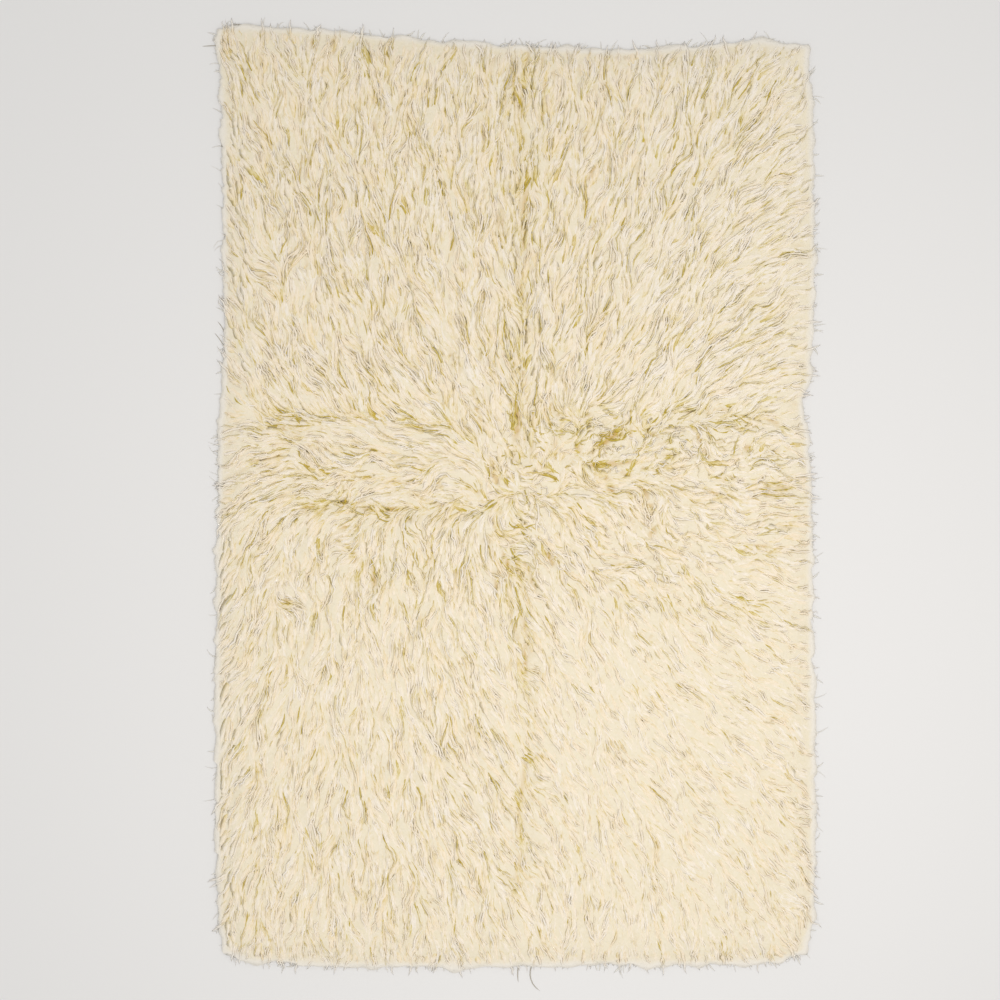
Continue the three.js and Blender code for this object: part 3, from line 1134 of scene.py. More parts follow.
@dataclass
class Strands:
    """Many strands of one shape, as points, ready to be made a mesh.

    The two-dimensional arrays have a row for each strand and a column for each station.
    """

    shape: Shape
    x: Array
    y: Array
    z: Array
    angle: Array
    width: Array
    flatness: float
    tone: Array
    tint: Array
    creases: CreaseMap
    # How deep the creases sink the strands, and how much darker the strands are drawn there, as
    # painted shade.
    crease_depth: float = 7.0
    crease_painted_shade: float = 0.5
    # The least height of the strands over the floor, and of their tips where there is no crease.
    least_height: float = 0.3
    least_tip: float = 0.6
    # Where the bleaching is full and where it ends, as distances inside the rim.
    bleached_from: float = -20.0
    bleached_to: float = -2.0
    # The way round a strand in widths, and the shift between two strands' fibres.
    girth: float = 2.4
    fibre_shift: float = 57.3
    # The free border of a strand's cell in the baked map, as a share of the cell.
    cell_border: float = 0.08

    def points(self) -> Array:
        """The vertices of all strands, in millimetres: a ring at each station, then the tip."""
        sizes = np.array([station.width for station in self.shape.stations])[:-1]
        half = (self.width[:, None] * sizes / 2)[:, :, None]
        across = np.array([point[0] for point in self.shape.section])
        up = np.array([point[1] for point in self.shape.section])
        angle = self.angle[:, :-1, None]
        x = self.x[:, :-1, None] - np.sin(angle) * half * across
        y = self.y[:, :-1, None] + np.cos(angle) * half * across
        z = np.maximum(self.z[:, :-1, None], self.least_height) + 2 * half * self.flatness * up
        body = np.stack([x, y, z], 3).reshape(len(x), -1, 3)
        tip_z = np.maximum(self.z[:, -1], self.least_tip)
        tip = np.stack([self.x[:, -1], self.y[:, -1], tip_z], 1)
        return np.concatenate([body, tip[:, None, :]], 1)

    def faces(self) -> tuple[Array, Array, Array, Array]:
        """The faces of one strand.

        Returns:
            The vertex of each corner, the first corner of each face, which faces are rounded, and
            each corner's place on the strand's skin: round it and along it, as shares.
        """
        sides = len(self.shape.section)
        rings = len(self.shape.stations) - 1
        alongs = [station.along for station in self.shape.stations]
        corners: list[int] = []
        starts: list[int] = []
        rounded: list[bool] = []
        skin: list[tuple[float, float]] = []

        def add(*ring: tuple[int, float, float], smooth: bool = False) -> None:
            """Adds a face from the vertex and the skin's place of each corner."""
            starts.append(len(corners))
            rounded.append(smooth)
            for vertex, around, along in ring:
                corners.append(vertex)
                skin.append((around, along))

        add(*((k, k / sides, 0.0) for k in reversed(range(sides))))
        for ring in range(rings):
            here, there = alongs[ring], alongs[ring + 1]
            for k in range(sides):
                a, b = sides * ring + k, sides * ring + (k + 1) % sides
                u, w = k / sides, (k + 1) / sides
                near = (a, u, here), (b, w, here)
                # The first side is the underside. It is kept flat, so that the edges stay light.
                if ring < rings - 1:
                    add(*near, (b + sides, w, there), (a + sides, u, there), smooth=k > 0)
                else:
                    add(*near, (sides * rings, (u + w) / 2, there), smooth=k > 0)
        return np.array(corners), np.array(starts), np.array(rounded), np.array(skin)

    def mesh(self, name: str) -> Mesh:
        """Makes the mesh, with its colour attributes and its two UV maps.

        Args:
            name: The mesh's name.

        Returns:
            The mesh.
        """
        count, sides = len(self.x), len(self.shape.section)
        per_strand = sides * (len(self.shape.stations) - 1) + 1
        corners, starts, rounded, skin = self.faces()
        number = np.arange(count)[:, None]
        points = self.points()
        deep = self.creases.at(points[:, :, 0], points[:, :, 1])
        inside = OUTLINE.inside(points[:, :, 0], points[:, :, 1])
        pale = 1.0 - ease(self.bleached_from, self.bleached_to, inside)
        lowered = points[:, :, 2] - self.crease_depth * deep
        points[:, :, 2] = np.maximum(lowered, self.least_height)
        mesh = mesh_from(
            name,
            in_frame(points.reshape(-1, 3)),
            (corners[None, :] + number * per_strand).ravel(),
            (starts[None, :] + number * len(corners)).ravel(),
        )
        mesh.polygons.foreach_set("use_smooth", np.tile(rounded, count))
        # The shape's painted shade darkens the lower edges of each ring.
        ring_tone = self.tone[:, :-1, None] + np.array(self.shape.light)
        tone = np.concatenate([ring_tone.reshape(count, -1), self.tone[:, -1:]], 1)
        # Painted shade: the strands are drawn darker in the creases.
        tone = tone - self.crease_painted_shade * deep
        add_attribute(mesh, "pale", pale.ravel())
        add_attribute(mesh, "tone", tone.ravel().clip(0.0, 1.0))
        add_attribute(mesh, "tint", np.repeat(self.tint, per_strand))
        lengths = np.hypot(np.diff(self.x, axis=1), np.diff(self.y, axis=1)).sum(1)
        fibre = np.empty((count, len(corners), 2))
        fibre[:, :, 0] = skin[None, :, 0] * self.girth * self.width[:, None]
        fibre[:, :, 0] += number * self.fibre_shift
        fibre[:, :, 1] = skin[None, :, 1] * lengths[:, None]
        add_uv(mesh, "fibre", fibre.reshape(-1, 2) * MM)
        grid = math.ceil(math.sqrt(count))
        cell = np.stack([number % grid, number // grid], 2)
        used = 1.0 - 2 * self.cell_border
        baked = (cell + self.cell_border + used * skin[None, :, :]) / grid
        add_uv(mesh, "OFBake", baked.reshape(-1, 2))
        return mesh


def in_frame(points: Array) -> Array:
    """Moves points from the tables' zero to the frame's, and turns millimetres to metres.

    Args:
        points: Rows of X, Y and Z.

    Returns:
        The points in the frame.
    """
    return (points + np.array([*TABLE_SHIFT, 0.0])) * MM


def mesh_from(name: str, points: Array, corners: Array, starts: Array) -> Mesh:
    """Makes a smooth mesh from arrays.

    Args:
        name: The mesh's name.
        points: The vertices, in metres.
        corners: The vertex of each face corner.
        starts: The first corner of each face.

    Returns:
        The mesh.
    """
    mesh = bpy.data.meshes.new(name)
    mesh.vertices.add(len(points))
    mesh.vertices.foreach_set("co", points.astype(np.float32).ravel())
    mesh.loops.add(len(corners))
    mesh.loops.foreach_set("vertex_index", corners.astype(np.int32))
    mesh.polygons.add(len(starts))
    mesh.polygons.foreach_set("loop_start", starts.astype(np.int32))
    mesh.update(calc_edges=True)
    mesh.shade_smooth()
    return mesh


def add_attribute(mesh: Mesh, name: str, values: Array) -> None:
    """Adds a number for each vertex.

    Args:
        mesh: The mesh.
        name: The attribute's name.
        values: A number for each vertex.
    """
    layer = mesh.attributes.new(name, "FLOAT", "POINT")
    layer.data.foreach_set("value", values.astype(np.float32))


def add_uv(mesh: Mesh, name: str, places: Array) -> None:
    """Adds a UV map.

    Args:
        mesh: The mesh.
        name: The map's name.
        places: A place for each face corner.
    """
    layer = mesh.uv_layers.new(name=name, do_init=False)
    layer.uv.foreach_set("vector", places.astype(np.float32).ravel())


def add_node(
    tree: NodeTree,
    kind: str,
    settings: dict[str, Any] | None = None,
    values: dict[str | int, Any] | None = None,
    links: dict[str | int, Any] | None = None,
) -> Node:
    """Adds a shader node.

    Args:
        tree: The node tree.
        kind: The node's type.
        settings: The node's own settings.
        values: Values for its inputs, by name or number.
        links: Outputs that feed its inputs, by the input's name or number.

    Returns:
        The node.
    """
    node = tree.nodes.new(kind)
    for name, value in (settings or {}).items():
        setattr(node, name, value)
    for socket, value in (values or {}).items():
        node.inputs[socket].default_value = value
    for socket, output in (links or {}).items():
        tree.links.new(output, node.inputs[socket])
    return node


def new_material(name: str) -> tuple[Material, NodeTree]:
    """Makes a material with an empty node tree.

    Args:
        name: The material's name.

    Returns:
        The material and its tree.
    """
    material = bpy.data.materials.new(name)
    material.use_nodes = True
    material.node_tree.nodes.clear()
    return material, material.node_tree


@dataclass(frozen=True)
class WashedPileWool:
    """Undyed sheep's wool yarn, cut, then felted and fluffed in water.

    To the eye it is matt and creamy, nearly white at the tips and straw to ochre in its depths,
    which is partly its own colour and partly painted shade, with fine wavy grooves between its
    fibres that are drawn darker in painted shade.
    """

    # The colours along the tone, from the depths to the tips. The depth and hollow colours are
    # partly the wool's own colour and partly painted shade.
    depth: str = "#C3AE48"
    hollow: str = "#E4D7AC"
    shank: str = "#F0E7D8"
    tip: str = "#F9F1E6"
    straw: str = "#FFF8EA"
    milk: str = "#FFFFFF"
    bleached: str = "#F1EBE2"
    # The grooves between the plies and fibre bundles of a yarn, and how far each runs.
    groove_width: float = 2.2 * MM
    groove_stretch: float = 6.0
    groove_depth: float = 1.3 * MM
    # How much darker the grooves are drawn: painted shade.
    groove_painted_shade: float = 0.42
    # The noise's values at the bottom of a groove and on a ridge.
    groove_from: float = 0.3
    groove_to: float = 0.62
    # The tones at which the hollows and the shanks have their colours.
    hollow_at: float = 0.32
    shank_at: float = 0.62
    relief: float = 0.3
    # The crimp of the fibres: how far they wave to and fro, and how long a wave is.
    crimp_width: float = 6.0 * MM
    crimp_length: float = 11.0 * MM
    roughness: float = 0.95
    sheen: float = 0.12
    sheen_roughness: float = 0.5

    def material(self) -> Material:
        """Builds the material."""
        material, tree = new_material("washed_pile_wool")
        fibre = add_node(tree, "ShaderNodeUVMap", {"uv_map": "fibre"})
        waves = add_node(
            tree,
            "ShaderNodeTexNoise",
            {"noise_dimensions": "2D"},
            {"Scale": 1.0 / self.crimp_length, "Detail": 1.0},
            {"Vector": fibre.outputs["UV"]},
        )
        crimped = add_node(
            tree,
            "ShaderNodeVectorMath",
            {"operation": "MULTIPLY_ADD"},
            {1: (self.crimp_width, 0.0, 0.0)},
            {0: waves.outputs["Color"], 2: fibre.outputs["UV"]},
        )
        stretched = add_node(
            tree,
            "ShaderNodeMapping",
            values={"Scale": (1.0, 1.0 / self.groove_stretch, 1.0)},
            links={"Vector": crimped.outputs["Vector"]},
        )
        grooves = add_node(
            tree,
            "ShaderNodeTexNoise",
            {"noise_dimensions": "2D"},
            {"Scale": 1.0 / self.groove_width, "Detail": 2.0, "Distortion": 0.25},
            {"Vector": stretched.outputs["Vector"]},
        )
        # Painted shade: grooves are drawn darker than the ridges beside them, by up to the set
        # amount.
        shade = add_node(
            tree,
            "ShaderNodeMapRange",
            values={
                "From Min": self.groove_from,
                "From Max": self.groove_to,
                "To Min": -self.groove_painted_shade,
                "To Max": 0.0,
            },
            links={"Value": grooves.outputs["Fac"]},
        )
        tone = add_node(tree, "ShaderNodeAttribute", {"attribute_name": "tone"})
        shown = add_node(
            tree,
            "ShaderNodeMath",
            {"operation": "ADD", "use_clamp": True},
            links={0: tone.outputs["Fac"], 1: shade.outputs["Result"]},
        )
        ramp = add_node(tree, "ShaderNodeValToRGB", links={"Fac": shown.outputs["Value"]})
        stops = ramp.color_ramp.elements
        stops[0].position, stops[0].color = 0.0, linear(self.depth)
        stops[1].position, stops[1].color = 1.0, linear(self.tip)
        for place, colour in ((self.hollow_at, self.hollow), (self.shank_at, self.shank)):
            stop = stops.new(place)
            stop.color = linear(colour)
        tint = add_node(tree, "ShaderNodeAttribute", {"attribute_name": "tint"})
        hues = add_node(
            tree,
            "ShaderNodeMix",
            {"data_type": "RGBA"},
            {"A": linear(self.straw), "B": linear(self.milk)},
            {"Factor": tint.outputs["Fac"]},
        )
        # Index 2 is the colour result of a Mix node.
        colours = add_node(
            tree,
            "ShaderNodeMix",
            {"data_type": "RGBA", "blend_type": "MULTIPLY"},
            {"Factor": 1.0},
            {"A": ramp.outputs["Color"], "B": hues.outputs[2]},
        )
        # The tips that reach over the rim are bleached.
        pale = add_node(tree, "ShaderNodeAttribute", {"attribute_name": "pale"})
        faded = add_node(
            tree,
            "ShaderNodeMix",
            {"data_type": "RGBA"},
            {"B": linear(self.bleached)},
            {"Factor": pale.outputs["Fac"], "A": colours.outputs[2]},
        )
        bump = add_node(
            tree,
            "ShaderNodeBump",
            values={"Strength": self.relief, "Distance": self.groove_depth},
            links={"Height": grooves.outputs["Fac"]},
        )
        wool = add_node(
            tree,
            "ShaderNodeBsdfPrincipled",
            values={
                "Roughness": self.roughness,
                "Sheen Weight": self.sheen,
                "Sheen Roughness": self.sheen_roughness,
                "Specular IOR Level": WOOL_SPECULAR,
            },
            links={"Base Color": faded.outputs[2], "Normal": bump.outputs["Normal"]},
        )
        add_node(tree, "ShaderNodeOutputMaterial", links={"Surface": wool.outputs["BSDF"]})
        return material


@dataclass(frozen=True)
class LooseRimWool:
    """Single loose fibres and thin plies at the rim: nearly white and matt, and drawn as grey as
    the floor in painted shade, so that they read as the soft shadow around the rim.
    """

    # Both colours are near the floor's grey: painted shade for the rim's soft shadow.
    root: str = "#ECE7DC"
    end: str = "#E4E2DD"
    ply_length: float = 22.0 * MM
    roughness: float = 0.95
    sheen: float = 0.1

    def material(self) -> Material:
        """Builds the material."""
        material, tree = new_material("loose_rim_wool")
        fibre = add_node(tree, "ShaderNodeUVMap", {"uv_map": "fibre"})
        plies = add_node(
            tree,
            "ShaderNodeTexNoise",
            {"noise_dimensions": "2D"},
            {"Scale": 1.0 / self.ply_length, "Detail": 2.0},
            {"Vector": fibre.outputs["UV"]},
        )
        colours = add_node(
            tree,
            "ShaderNodeMix",
            {"data_type": "RGBA"},
            {"A": linear(self.root), "B": linear(self.end)},
            {"Factor": plies.outputs["Fac"]},
        )
        wool = add_node(
            tree,
            "ShaderNodeBsdfPrincipled",
            values={
                "Roughness": self.roughness,
                "Sheen Weight": self.sheen,
                "Specular IOR Level": WOOL_SPECULAR,
            },
            links={"Base Color": colours.outputs[2]},
        )
        add_node(tree, "ShaderNodeOutputMaterial", links={"Surface": wool.outputs["BSDF"]})
        return material


@dataclass(frozen=True)
class ShadedEndWool:
    """Yarn ends that trail on the floor: thin and matt, drawn dark grey in painted shade, for the
    shadows that they cast on the floor.
    """

    # A dark grey: painted shade.
    colour: str = "#B9B2A4"
    roughness: float = 0.95
    sheen: float = 0.1

    def material(self) -> Material:
        """Builds the material."""
        material, tree = new_material("shaded_end_wool")
        wool = add_node(
            tree,
            "ShaderNodeBsdfPrincipled",
            values={
                "Base Color": linear(self.colour),
                "Roughness": self.roughness,
                "Sheen Weight": self.sheen,
                "Specular IOR Level": WOOL_SPECULAR,
            },
        )
        add_node(tree, "ShaderNodeOutputMaterial", links={"Surface": wool.outputs["BSDF"]})
        return material


@dataclass(frozen=True)
class FeltedFootWool:
    """The foot of the pile, where washing has matted the yarns into an even, dull straw felt."""

    # The felt takes its deep colour in the hollows of its clumps and its light colour on their
    # tops, and is ochre in the creases: painted shade.
    light: str = "#EFE6D6"
    deep: str = "#E6DAB9"
    ochre: str = "#CBA552"
    bleached: str = "#E9E3D8"
    clump: float = 9.0 * MM
    clump_height: float = 3.0 * MM
    relief: float = 0.8
    roughness: float = 0.97
    sheen: float = 0.15

    def material(self) -> Material:
        """Builds the material."""
        material, tree = new_material("felted_foot_wool")
        place = add_node(tree, "ShaderNodeTexCoord")
        matted = add_node(
            tree,
            "ShaderNodeTexNoise",
            values={"Scale": 1.0 / self.clump, "Detail": 5.0, "Distortion": 0.8},
            links={"Vector": place.outputs["Object"]},
        )
        # Painted shade: the clumps' hollows, where the bump sinks, take the deep colour.
        colours = add_node(
            tree,
            "ShaderNodeMix",
            {"data_type": "RGBA"},
            {"A": linear(self.deep), "B": linear(self.light)},
            {"Factor": matted.outputs["Fac"]},
        )
        # Painted shade: the felt is drawn ochre at the bottom of the creases.
        crease = add_node(tree, "ShaderNodeAttribute", {"attribute_name": "crease"})
        creased = add_node(
            tree,
            "ShaderNodeMix",
            {"data_type": "RGBA"},
            {"B": linear(self.ochre)},
            {"Factor": crease.outputs["Fac"], "A": colours.outputs[2]},
        )
        # The hem of felt outside the pile is bleached.
        pale = add_node(tree, "ShaderNodeAttribute", {"attribute_name": "pale"})
        faded = add_node(
            tree,
            "ShaderNodeMix",
            {"data_type": "RGBA"},
            {"B": linear(self.bleached)},
            {"Factor": pale.outputs["Fac"], "A": creased.outputs[2]},
        )
        bump = add_node(
            tree,
            "ShaderNodeBump",
            values={"Strength": self.relief, "Distance": self.clump_height},
            links={"Height": matted.outputs["Fac"]},
        )
        felt = add_node(
            tree,
            "ShaderNodeBsdfPrincipled",
            values={"Roughness": self.roughness, "Sheen Weight": self.sheen},
            links={"Base Color": faded.outputs[2], "Normal": bump.outputs["Normal"]},
        )
        add_node(tree, "ShaderNodeOutputMaterial", links={"Surface": felt.outputs["BSDF"]})
        return material


@dataclass(frozen=True)
class WovenGroundWool:
    """The ground: thick unbleached wool in plain weave, coarse and fuzzy, seen from below."""

    warp: str = "#D9C596"
    weft: str = "#E6D5AC"
    # Ground yarns lie about 5 mm apart.
    thread_pitch: float = 5.0 * MM
    thread_height: float = 1.5 * MM
    relief: float = 0.9
    roughness: float = 0.95
    sheen: float = 0.2

    def material(self) -> Material:
        """Builds the material."""
        material, tree = new_material("woven_ground_wool")
        place = add_node(tree, "ShaderNodeTexCoord")
        waves = {}
        for name, direction in (("warp", "X"), ("weft", "Y")):
            waves[name] = add_node(
                tree,
                "ShaderNodeTexWave",
                {"bands_direction": direction},
                {"Scale": math.pi / (10.0 * self.thread_pitch), "Distortion": 1.2, "Detail": 2.0},
                {"Vector": place.outputs["Object"]},
            )
        weave = add_node(
            tree,
            "ShaderNodeMath",
            {"operation": "MULTIPLY"},
            links={0: waves["warp"].outputs["Fac"], 1: waves["weft"].outputs["Fac"]},
        )
        colours = add_node(
            tree,
            "ShaderNodeMix",
            {"data_type": "RGBA"},
            {"A": linear(self.warp), "B": linear(self.weft)},
            {"Factor": weave.outputs["Value"]},
        )
        bump = add_node(
            tree,
            "ShaderNodeBump",
            values={"Strength": self.relief, "Distance": self.thread_height},
            links={"Height": weave.outputs["Value"]},
        )
        cloth = add_node(
            tree,
            "ShaderNodeBsdfPrincipled",
            values={"Roughness": self.roughness, "Sheen Weight": self.sheen},
            links={"Base Color": colours.outputs[2], "Normal": bump.outputs["Normal"]},
        )
        add_node(tree, "ShaderNodeOutputMaterial", links={"Surface": cloth.outputs["BSDF"]})
        return material


@dataclass(frozen=True)
class PaleFloorPaint:
    """A pale floor, painted a warm off-white and quite matt."""

    colour: str = "#E3E2E1"
    roughness: float = 0.8

    def material(self) -> Material:
        """Builds the material."""
        material, tree = new_material("pale_floor_paint")
        paint = add_node(
            tree,
            "ShaderNodeBsdfPrincipled",
            values={"Base Color": linear(self.colour), "Roughness": self.roughness},
        )
        add_node(tree, "ShaderNodeOutputMaterial", links={"Surface": paint.outputs["BSDF"]})
        return material


def show(mesh: Mesh, material: Material) -> Object:
    """Puts a mesh of the rug in the scene and lets it ride on the rug's body.

    Args:
        mesh: The mesh, in the frame.
        material: Its finish.

    Returns:
        The object.
    """
    piece = bpy.data.objects.new(mesh.name, mesh)
    bpy.context.scene.collection.objects.link(piece)
    mesh.materials.append(material)
    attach(piece, BODY)
    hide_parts(NODE)
    LOG.info("%s: %d faces", piece.name, len(mesh.polygons))
    return piece


class Zone(Enum):
    """A stretch of the rug's length, as the shares of it at which it starts and ends."""

    FOOT = (-1.01, -0.33)
    MIDDLE = (-0.33, 0.33)
    HEAD = (0.33, 1.01)


@dataclass
class PileLayer:
    """A layer of the pile that is built in one piece for each zone."""

    locks: Locks
    top: PileTop

    def found(self, zone: Zone) -> Array:
        """The numbers of the locks of one zone.

        Args:
            zone: The stretch of the rug.

        Returns:
            The numbers.
        """
        low, high = zone.value
        return np.flatnonzero((self.locks.v >= low) & (self.locks.v < high))

    def strands(self, zone: Zone) -> Strands:
        """Works out the strands of one zone.

        Args:
            zone: The stretch of the rug.

        Returns:
            The strands.
        """
        raise NotImplementedError

    def build(self, name: str, wool: Material) -> list[Object]:
        """Builds the layer.

        Args:
            name: The start of the pieces' names.
            wool: The pile's finish.

        Returns:
            The pieces.
        """
        return [show(self.strands(zone).mesh(f"{name}_{zone.name.lower()}"), wool) for zone in Zone]


@dataclass
class FeltedLocks(PileLayer):
    """The mass of the pile: broad locks that lie over one another like shingles."""

    width: float = 22.0
    flatness: float = 0.3
    under: float = 6.8
    widths: tuple[float, float] = (0.55, 1.3)
    # The locks lie under the yarn ends, and are drawn this much darker: painted shade.
    darker: float = 0.05
    tint_own: float = 0.1
    seed: int = 41

    def strands(self, zone: Zone) -> Strands:
        """Works out the locks of one zone.

        Args:
            zone: The stretch of the rug.

        Returns:
            The locks.
        """
        rng = np.random.default_rng(self.seed + list(Zone).index(zone))
        lock = self.found(zone)
        count = len(lock)
        t = LOCK_SHAPE.alongs()
        x, y, angle = self.locks.along(lock, t * np.ones((count, 1)))
        width = self.width * rng.uniform(*self.widths, count)
        top = self.top.at(x, y)
        z = Lying().height(top - self.under + self.locks.lift[lock][:, None], t)
        # Painted shade: the locks are drawn a little darker than the ends over them.
        tone = pile_tone(self.locks, lock, t) - self.darker
        tint = self.locks.tint[lock] + rng.normal(0.0, self.tint_own, count)
        tint = np.clip(tint, 0.0, 1.0)
        creases = self.top.creases
        return Strands(LOCK_SHAPE, x, y, z, angle, width, self.flatness, tone, tint, creases)


@dataclass
class YarnEnds(PileLayer):
    """Single yarn ends that lie on the locks and stray a little from them.

    A share of them are thin and drawn darker, straw-coloured in painted shade, and draw the shaded
    lines between the locks.
    """

    count: int = 9000
    width: float = 5.2
    flatness: float = 0.52
    under: float = 2.3
    spread: float = 8.0
    reach: float = 1.15
    straw_share: float = 0.21
    # How much darker the straw ends are drawn, as the shaded lines between the locks: painted
    # shade.
    straw_painted_shade: float = 0.3
    straw_sunk: float = 0.3
    straw_root: float = 2.0
    straw_tip: float = 2.0
    straw_out_at: float = 0.3
    straw_dip_from: float = 0.85
    straw_thin: float = 0.3
    own_wave: float = 2.2
    own_rise: float = 1.2
    waves: tuple[float, float] = (2.5, 4.5)
    wave_sizes: tuple[float, float] = (0.3, 1.6)
    tangle_wave: float = 0.03
    # The rising and sinking has this share of the waves to and fro.
    rise_rate: float = 0.7
    widths: tuple[float, float] = (0.6, 1.4)
    # How far an end may slide along its lock, as a share of the length.
    slide: float = 0.12
    # The share of the ends that are loose, and how far those and the others stray sideways.
    loose_share: float = 0.15
    loose_stray: float = 10.0
    plain_stray: float = 3.0
    narrowing: float = 0.45
    lift_own: float = 0.6
    tone_own: float = 0.08
    tint_more: float = 0.05
    tint_own: float = 0.18
    seed: int = 51

    def strands(self, zone: Zone) -> Strands:
        """Works out the yarn ends of one zone.

        Args:
            zone: The stretch of the rug.

        Returns:
            The yarn ends.
        """
        rng = np.random.default_rng(self.seed + list(Zone).index(zone))
        found = self.found(zone)
        count = round(self.count * len(found) / self.locks.count)
        lock = rng.choice(found, count)
        t = YARN_SHAPE.alongs()
        slide = rng.uniform(-self.slide, self.slide, count)[:, None]
        x, y, angle = self.locks.along(lock, np.maximum(self.reach * t + slide, 0.0))
        loose = rng.random(count) < self.loose_share
        across = rng.uniform(-1.0, 1.0, count)[:, None] * self.spread
        across = across * (1.0 - self.narrowing * t)
        wild = rng.normal(0.0, self.loose_stray, count)
        stray = np.where(loose, wild, rng.normal(0.0, self.plain_stray, count))
        across = across + stray[:, None] * ease(0.3, 1.0, t)
        rate = rng.uniform(*self.waves, count)[:, None]
        phase = rng.uniform(0.0, 1.0, count)[:, None]
        size = self.own_wave * rng.uniform(*self.wave_sizes, count)[:, None]
        size = size * (1.0 + self.tangle_wave * self.locks.tangle[lock][:, None])
        across = across + size * np.sin(2 * math.pi * (rate * t + phase)) * ease(0.0, 0.6, t)
        x, y = x - np.sin(angle) * across, y + np.cos(angle) * across
        angle = np.arctan2(np.gradient(y, axis=1), np.gradient(x, axis=1))
        straw = rng.random(count) < self.straw_share * lively(x[:, 0], y[:, 0])
        lift = self.locks.lift[lock] + rng.normal(0.0, self.lift_own, count)
        lift = lift - self.straw_sunk * straw
        top = self.top.at(x, y) - self.under + lift[:, None]
        # The straw ends, drawn darker in painted shade, stay near the top for nearly all of their
        # length.
        level = Lying(self.straw_root, self.straw_out_at, self.straw_tip, self.straw_dip_from)
        z = np.where(straw[:, None], level.height(top, t), Lying().height(top, t))
        phase = rng.uniform(0.0, 1.0, count)[:, None]
        rise = np.sin(2 * math.pi * (self.rise_rate * rate * t + phase))
        z = z + self.own_rise * rise * ease(0.0, 0.3, t)
        tone = pile_tone(self.locks, lock, t) + rng.normal(0.0, self.tone_own, count)[:, None]
        # Painted shade: the straw ends are drawn darker, as the shaded lines between the locks.
        tone = tone - self.straw_painted_shade * straw[:, None]
        tint = self.locks.tint[lock] + rng.normal(self.tint_more, self.tint_own, count)
        tint = np.clip(tint, 0.0, 1.0)
        width = self.width * rng.uniform(*self.widths, count) * (1.0 - self.straw_thin * straw)
        creases = self.top.creases
        return Strands(YARN_SHAPE, x, y, z, angle, width, self.flatness, tone, tint, creases)


@dataclass(frozen=True)
class Lying:
    """How strands lie: out of the matted pile, over its top, and a little down at the tip."""

    root_depth: float = 3.6
    out_at: float = 0.65
    tip_depth: float = 5.0
    dip_from: float = 0.6
    root_curve: float = 1.5
    # The most by which a strand is sunken, as a share of the pile's height, and its least height.
    most_sunk: float = 0.8
    least: float = 0.5

    def height(self, top: Array, t: Array) -> Array:
        """The height of some strands.

        Args:
            top: The height of the pile's top over each station.
            t: Shares of the strands' length.

        Returns:
            The heights.
        """
        sunk = self.root_depth * np.maximum(1.0 - t / self.out_at, 0.0) ** self.root_curve
        sunk = sunk + self.tip_depth * ease(self.dip_from, 1.0, t)
        return np.maximum(top - np.minimum(sunk, self.most_sunk * top), self.least)


# How light a strand's root is, how much lighter its tip, and between which shares it lightens.
# The darker, ochre roots deep in the pile are partly the wool's own colour and partly painted
# shade.
ROOT_TONE = 0.58
TIP_LIGHTER = 0.42
LIGHTENS = (0.05, 0.65)
# Painted shade: how much darker the sunken locks and those at the folds are drawn.
SUNKEN_PAINTED_SHADE = 0.42
FOLD_PAINTED_SHADE = 0.1


def pile_tone(locks: Locks, lock: Array, t: Array) -> Array:
    """How light the pile is drawn along some strands: 0 in its depths and 1 at its tips.

    The darker depths are partly the wool's own colour and partly painted shade.

    Args:
        locks: The locks.
        lock: The number of each strand's lock.
        t: Shares of the strands' length.

    Returns:
        The tones.
    """
    tone = ROOT_TONE + TIP_LIGHTER * ease(*LIGHTENS, t)
    tone = tone - SUNKEN_PAINTED_SHADE * locks.sunken[lock][:, None]
    return tone - FOLD_PAINTED_SHADE * locks.near_fold[lock][:, None]


@dataclass(frozen=True)
class RimLook:
    """The size of the strands at the rim, how far they turn outwards, and how much they bend."""

    name: str
    shape: Shape
    count: int
    width: float
    flatness: float
    root_inside: float
    length: tuple[float, float]
    turned_out: float
    bend: float
    tip_height: tuple[float, float]
    seed: int
    root_height: float


FRINGE = RimLook(
    name="rim_fringe",
    shape=WISP_SHAPE,
    count=170,
    width=4.0,
    flatness=0.12,
    root_inside=-8.0,
    length=(20.0, 40.0),
    turned_out=0.6,
    bend=1.2,
    tip_height=(0.3, 0.5),
    seed=67,
    root_height=0.6,
)
WISPS = RimLook(
    name="rim_wisps",
    shape=WISP_SHAPE,
    count=70,
    width=2.6,
    flatness=0.15,
    root_inside=0.0,
    length=(36.0, 60.0),
    turned_out=0.7,
    bend=1.5,
    tip_height=(0.3, 0.5),
    seed=71,
    root_height=1.0,
)


# The shares of the strands on the left, right, head and foot edges.
SIDE_SHARES = (0.36, 0.32, 0.24, 0.08)


def walk(x: Array, y: Array, angle: Array, t: Array, length: Array) -> tuple[Array, Array]:
    """Follows strands from their roots along their headings.

    Args:
        x: The roots' X.
        y: The roots' Y.
        angle: The headings at the stations, in radians.
        t: The stations' shares of the length.
        length: The strands' lengths.

    Returns:
        X and Y at the stations.
    """
    steps = np.diff(t, axis=1, prepend=0.0) * length
    east, north = np.cos(angle) * steps, np.sin(angle) * steps
    return x + np.cumsum(east, axis=1), y + np.cumsum(north, axis=1)


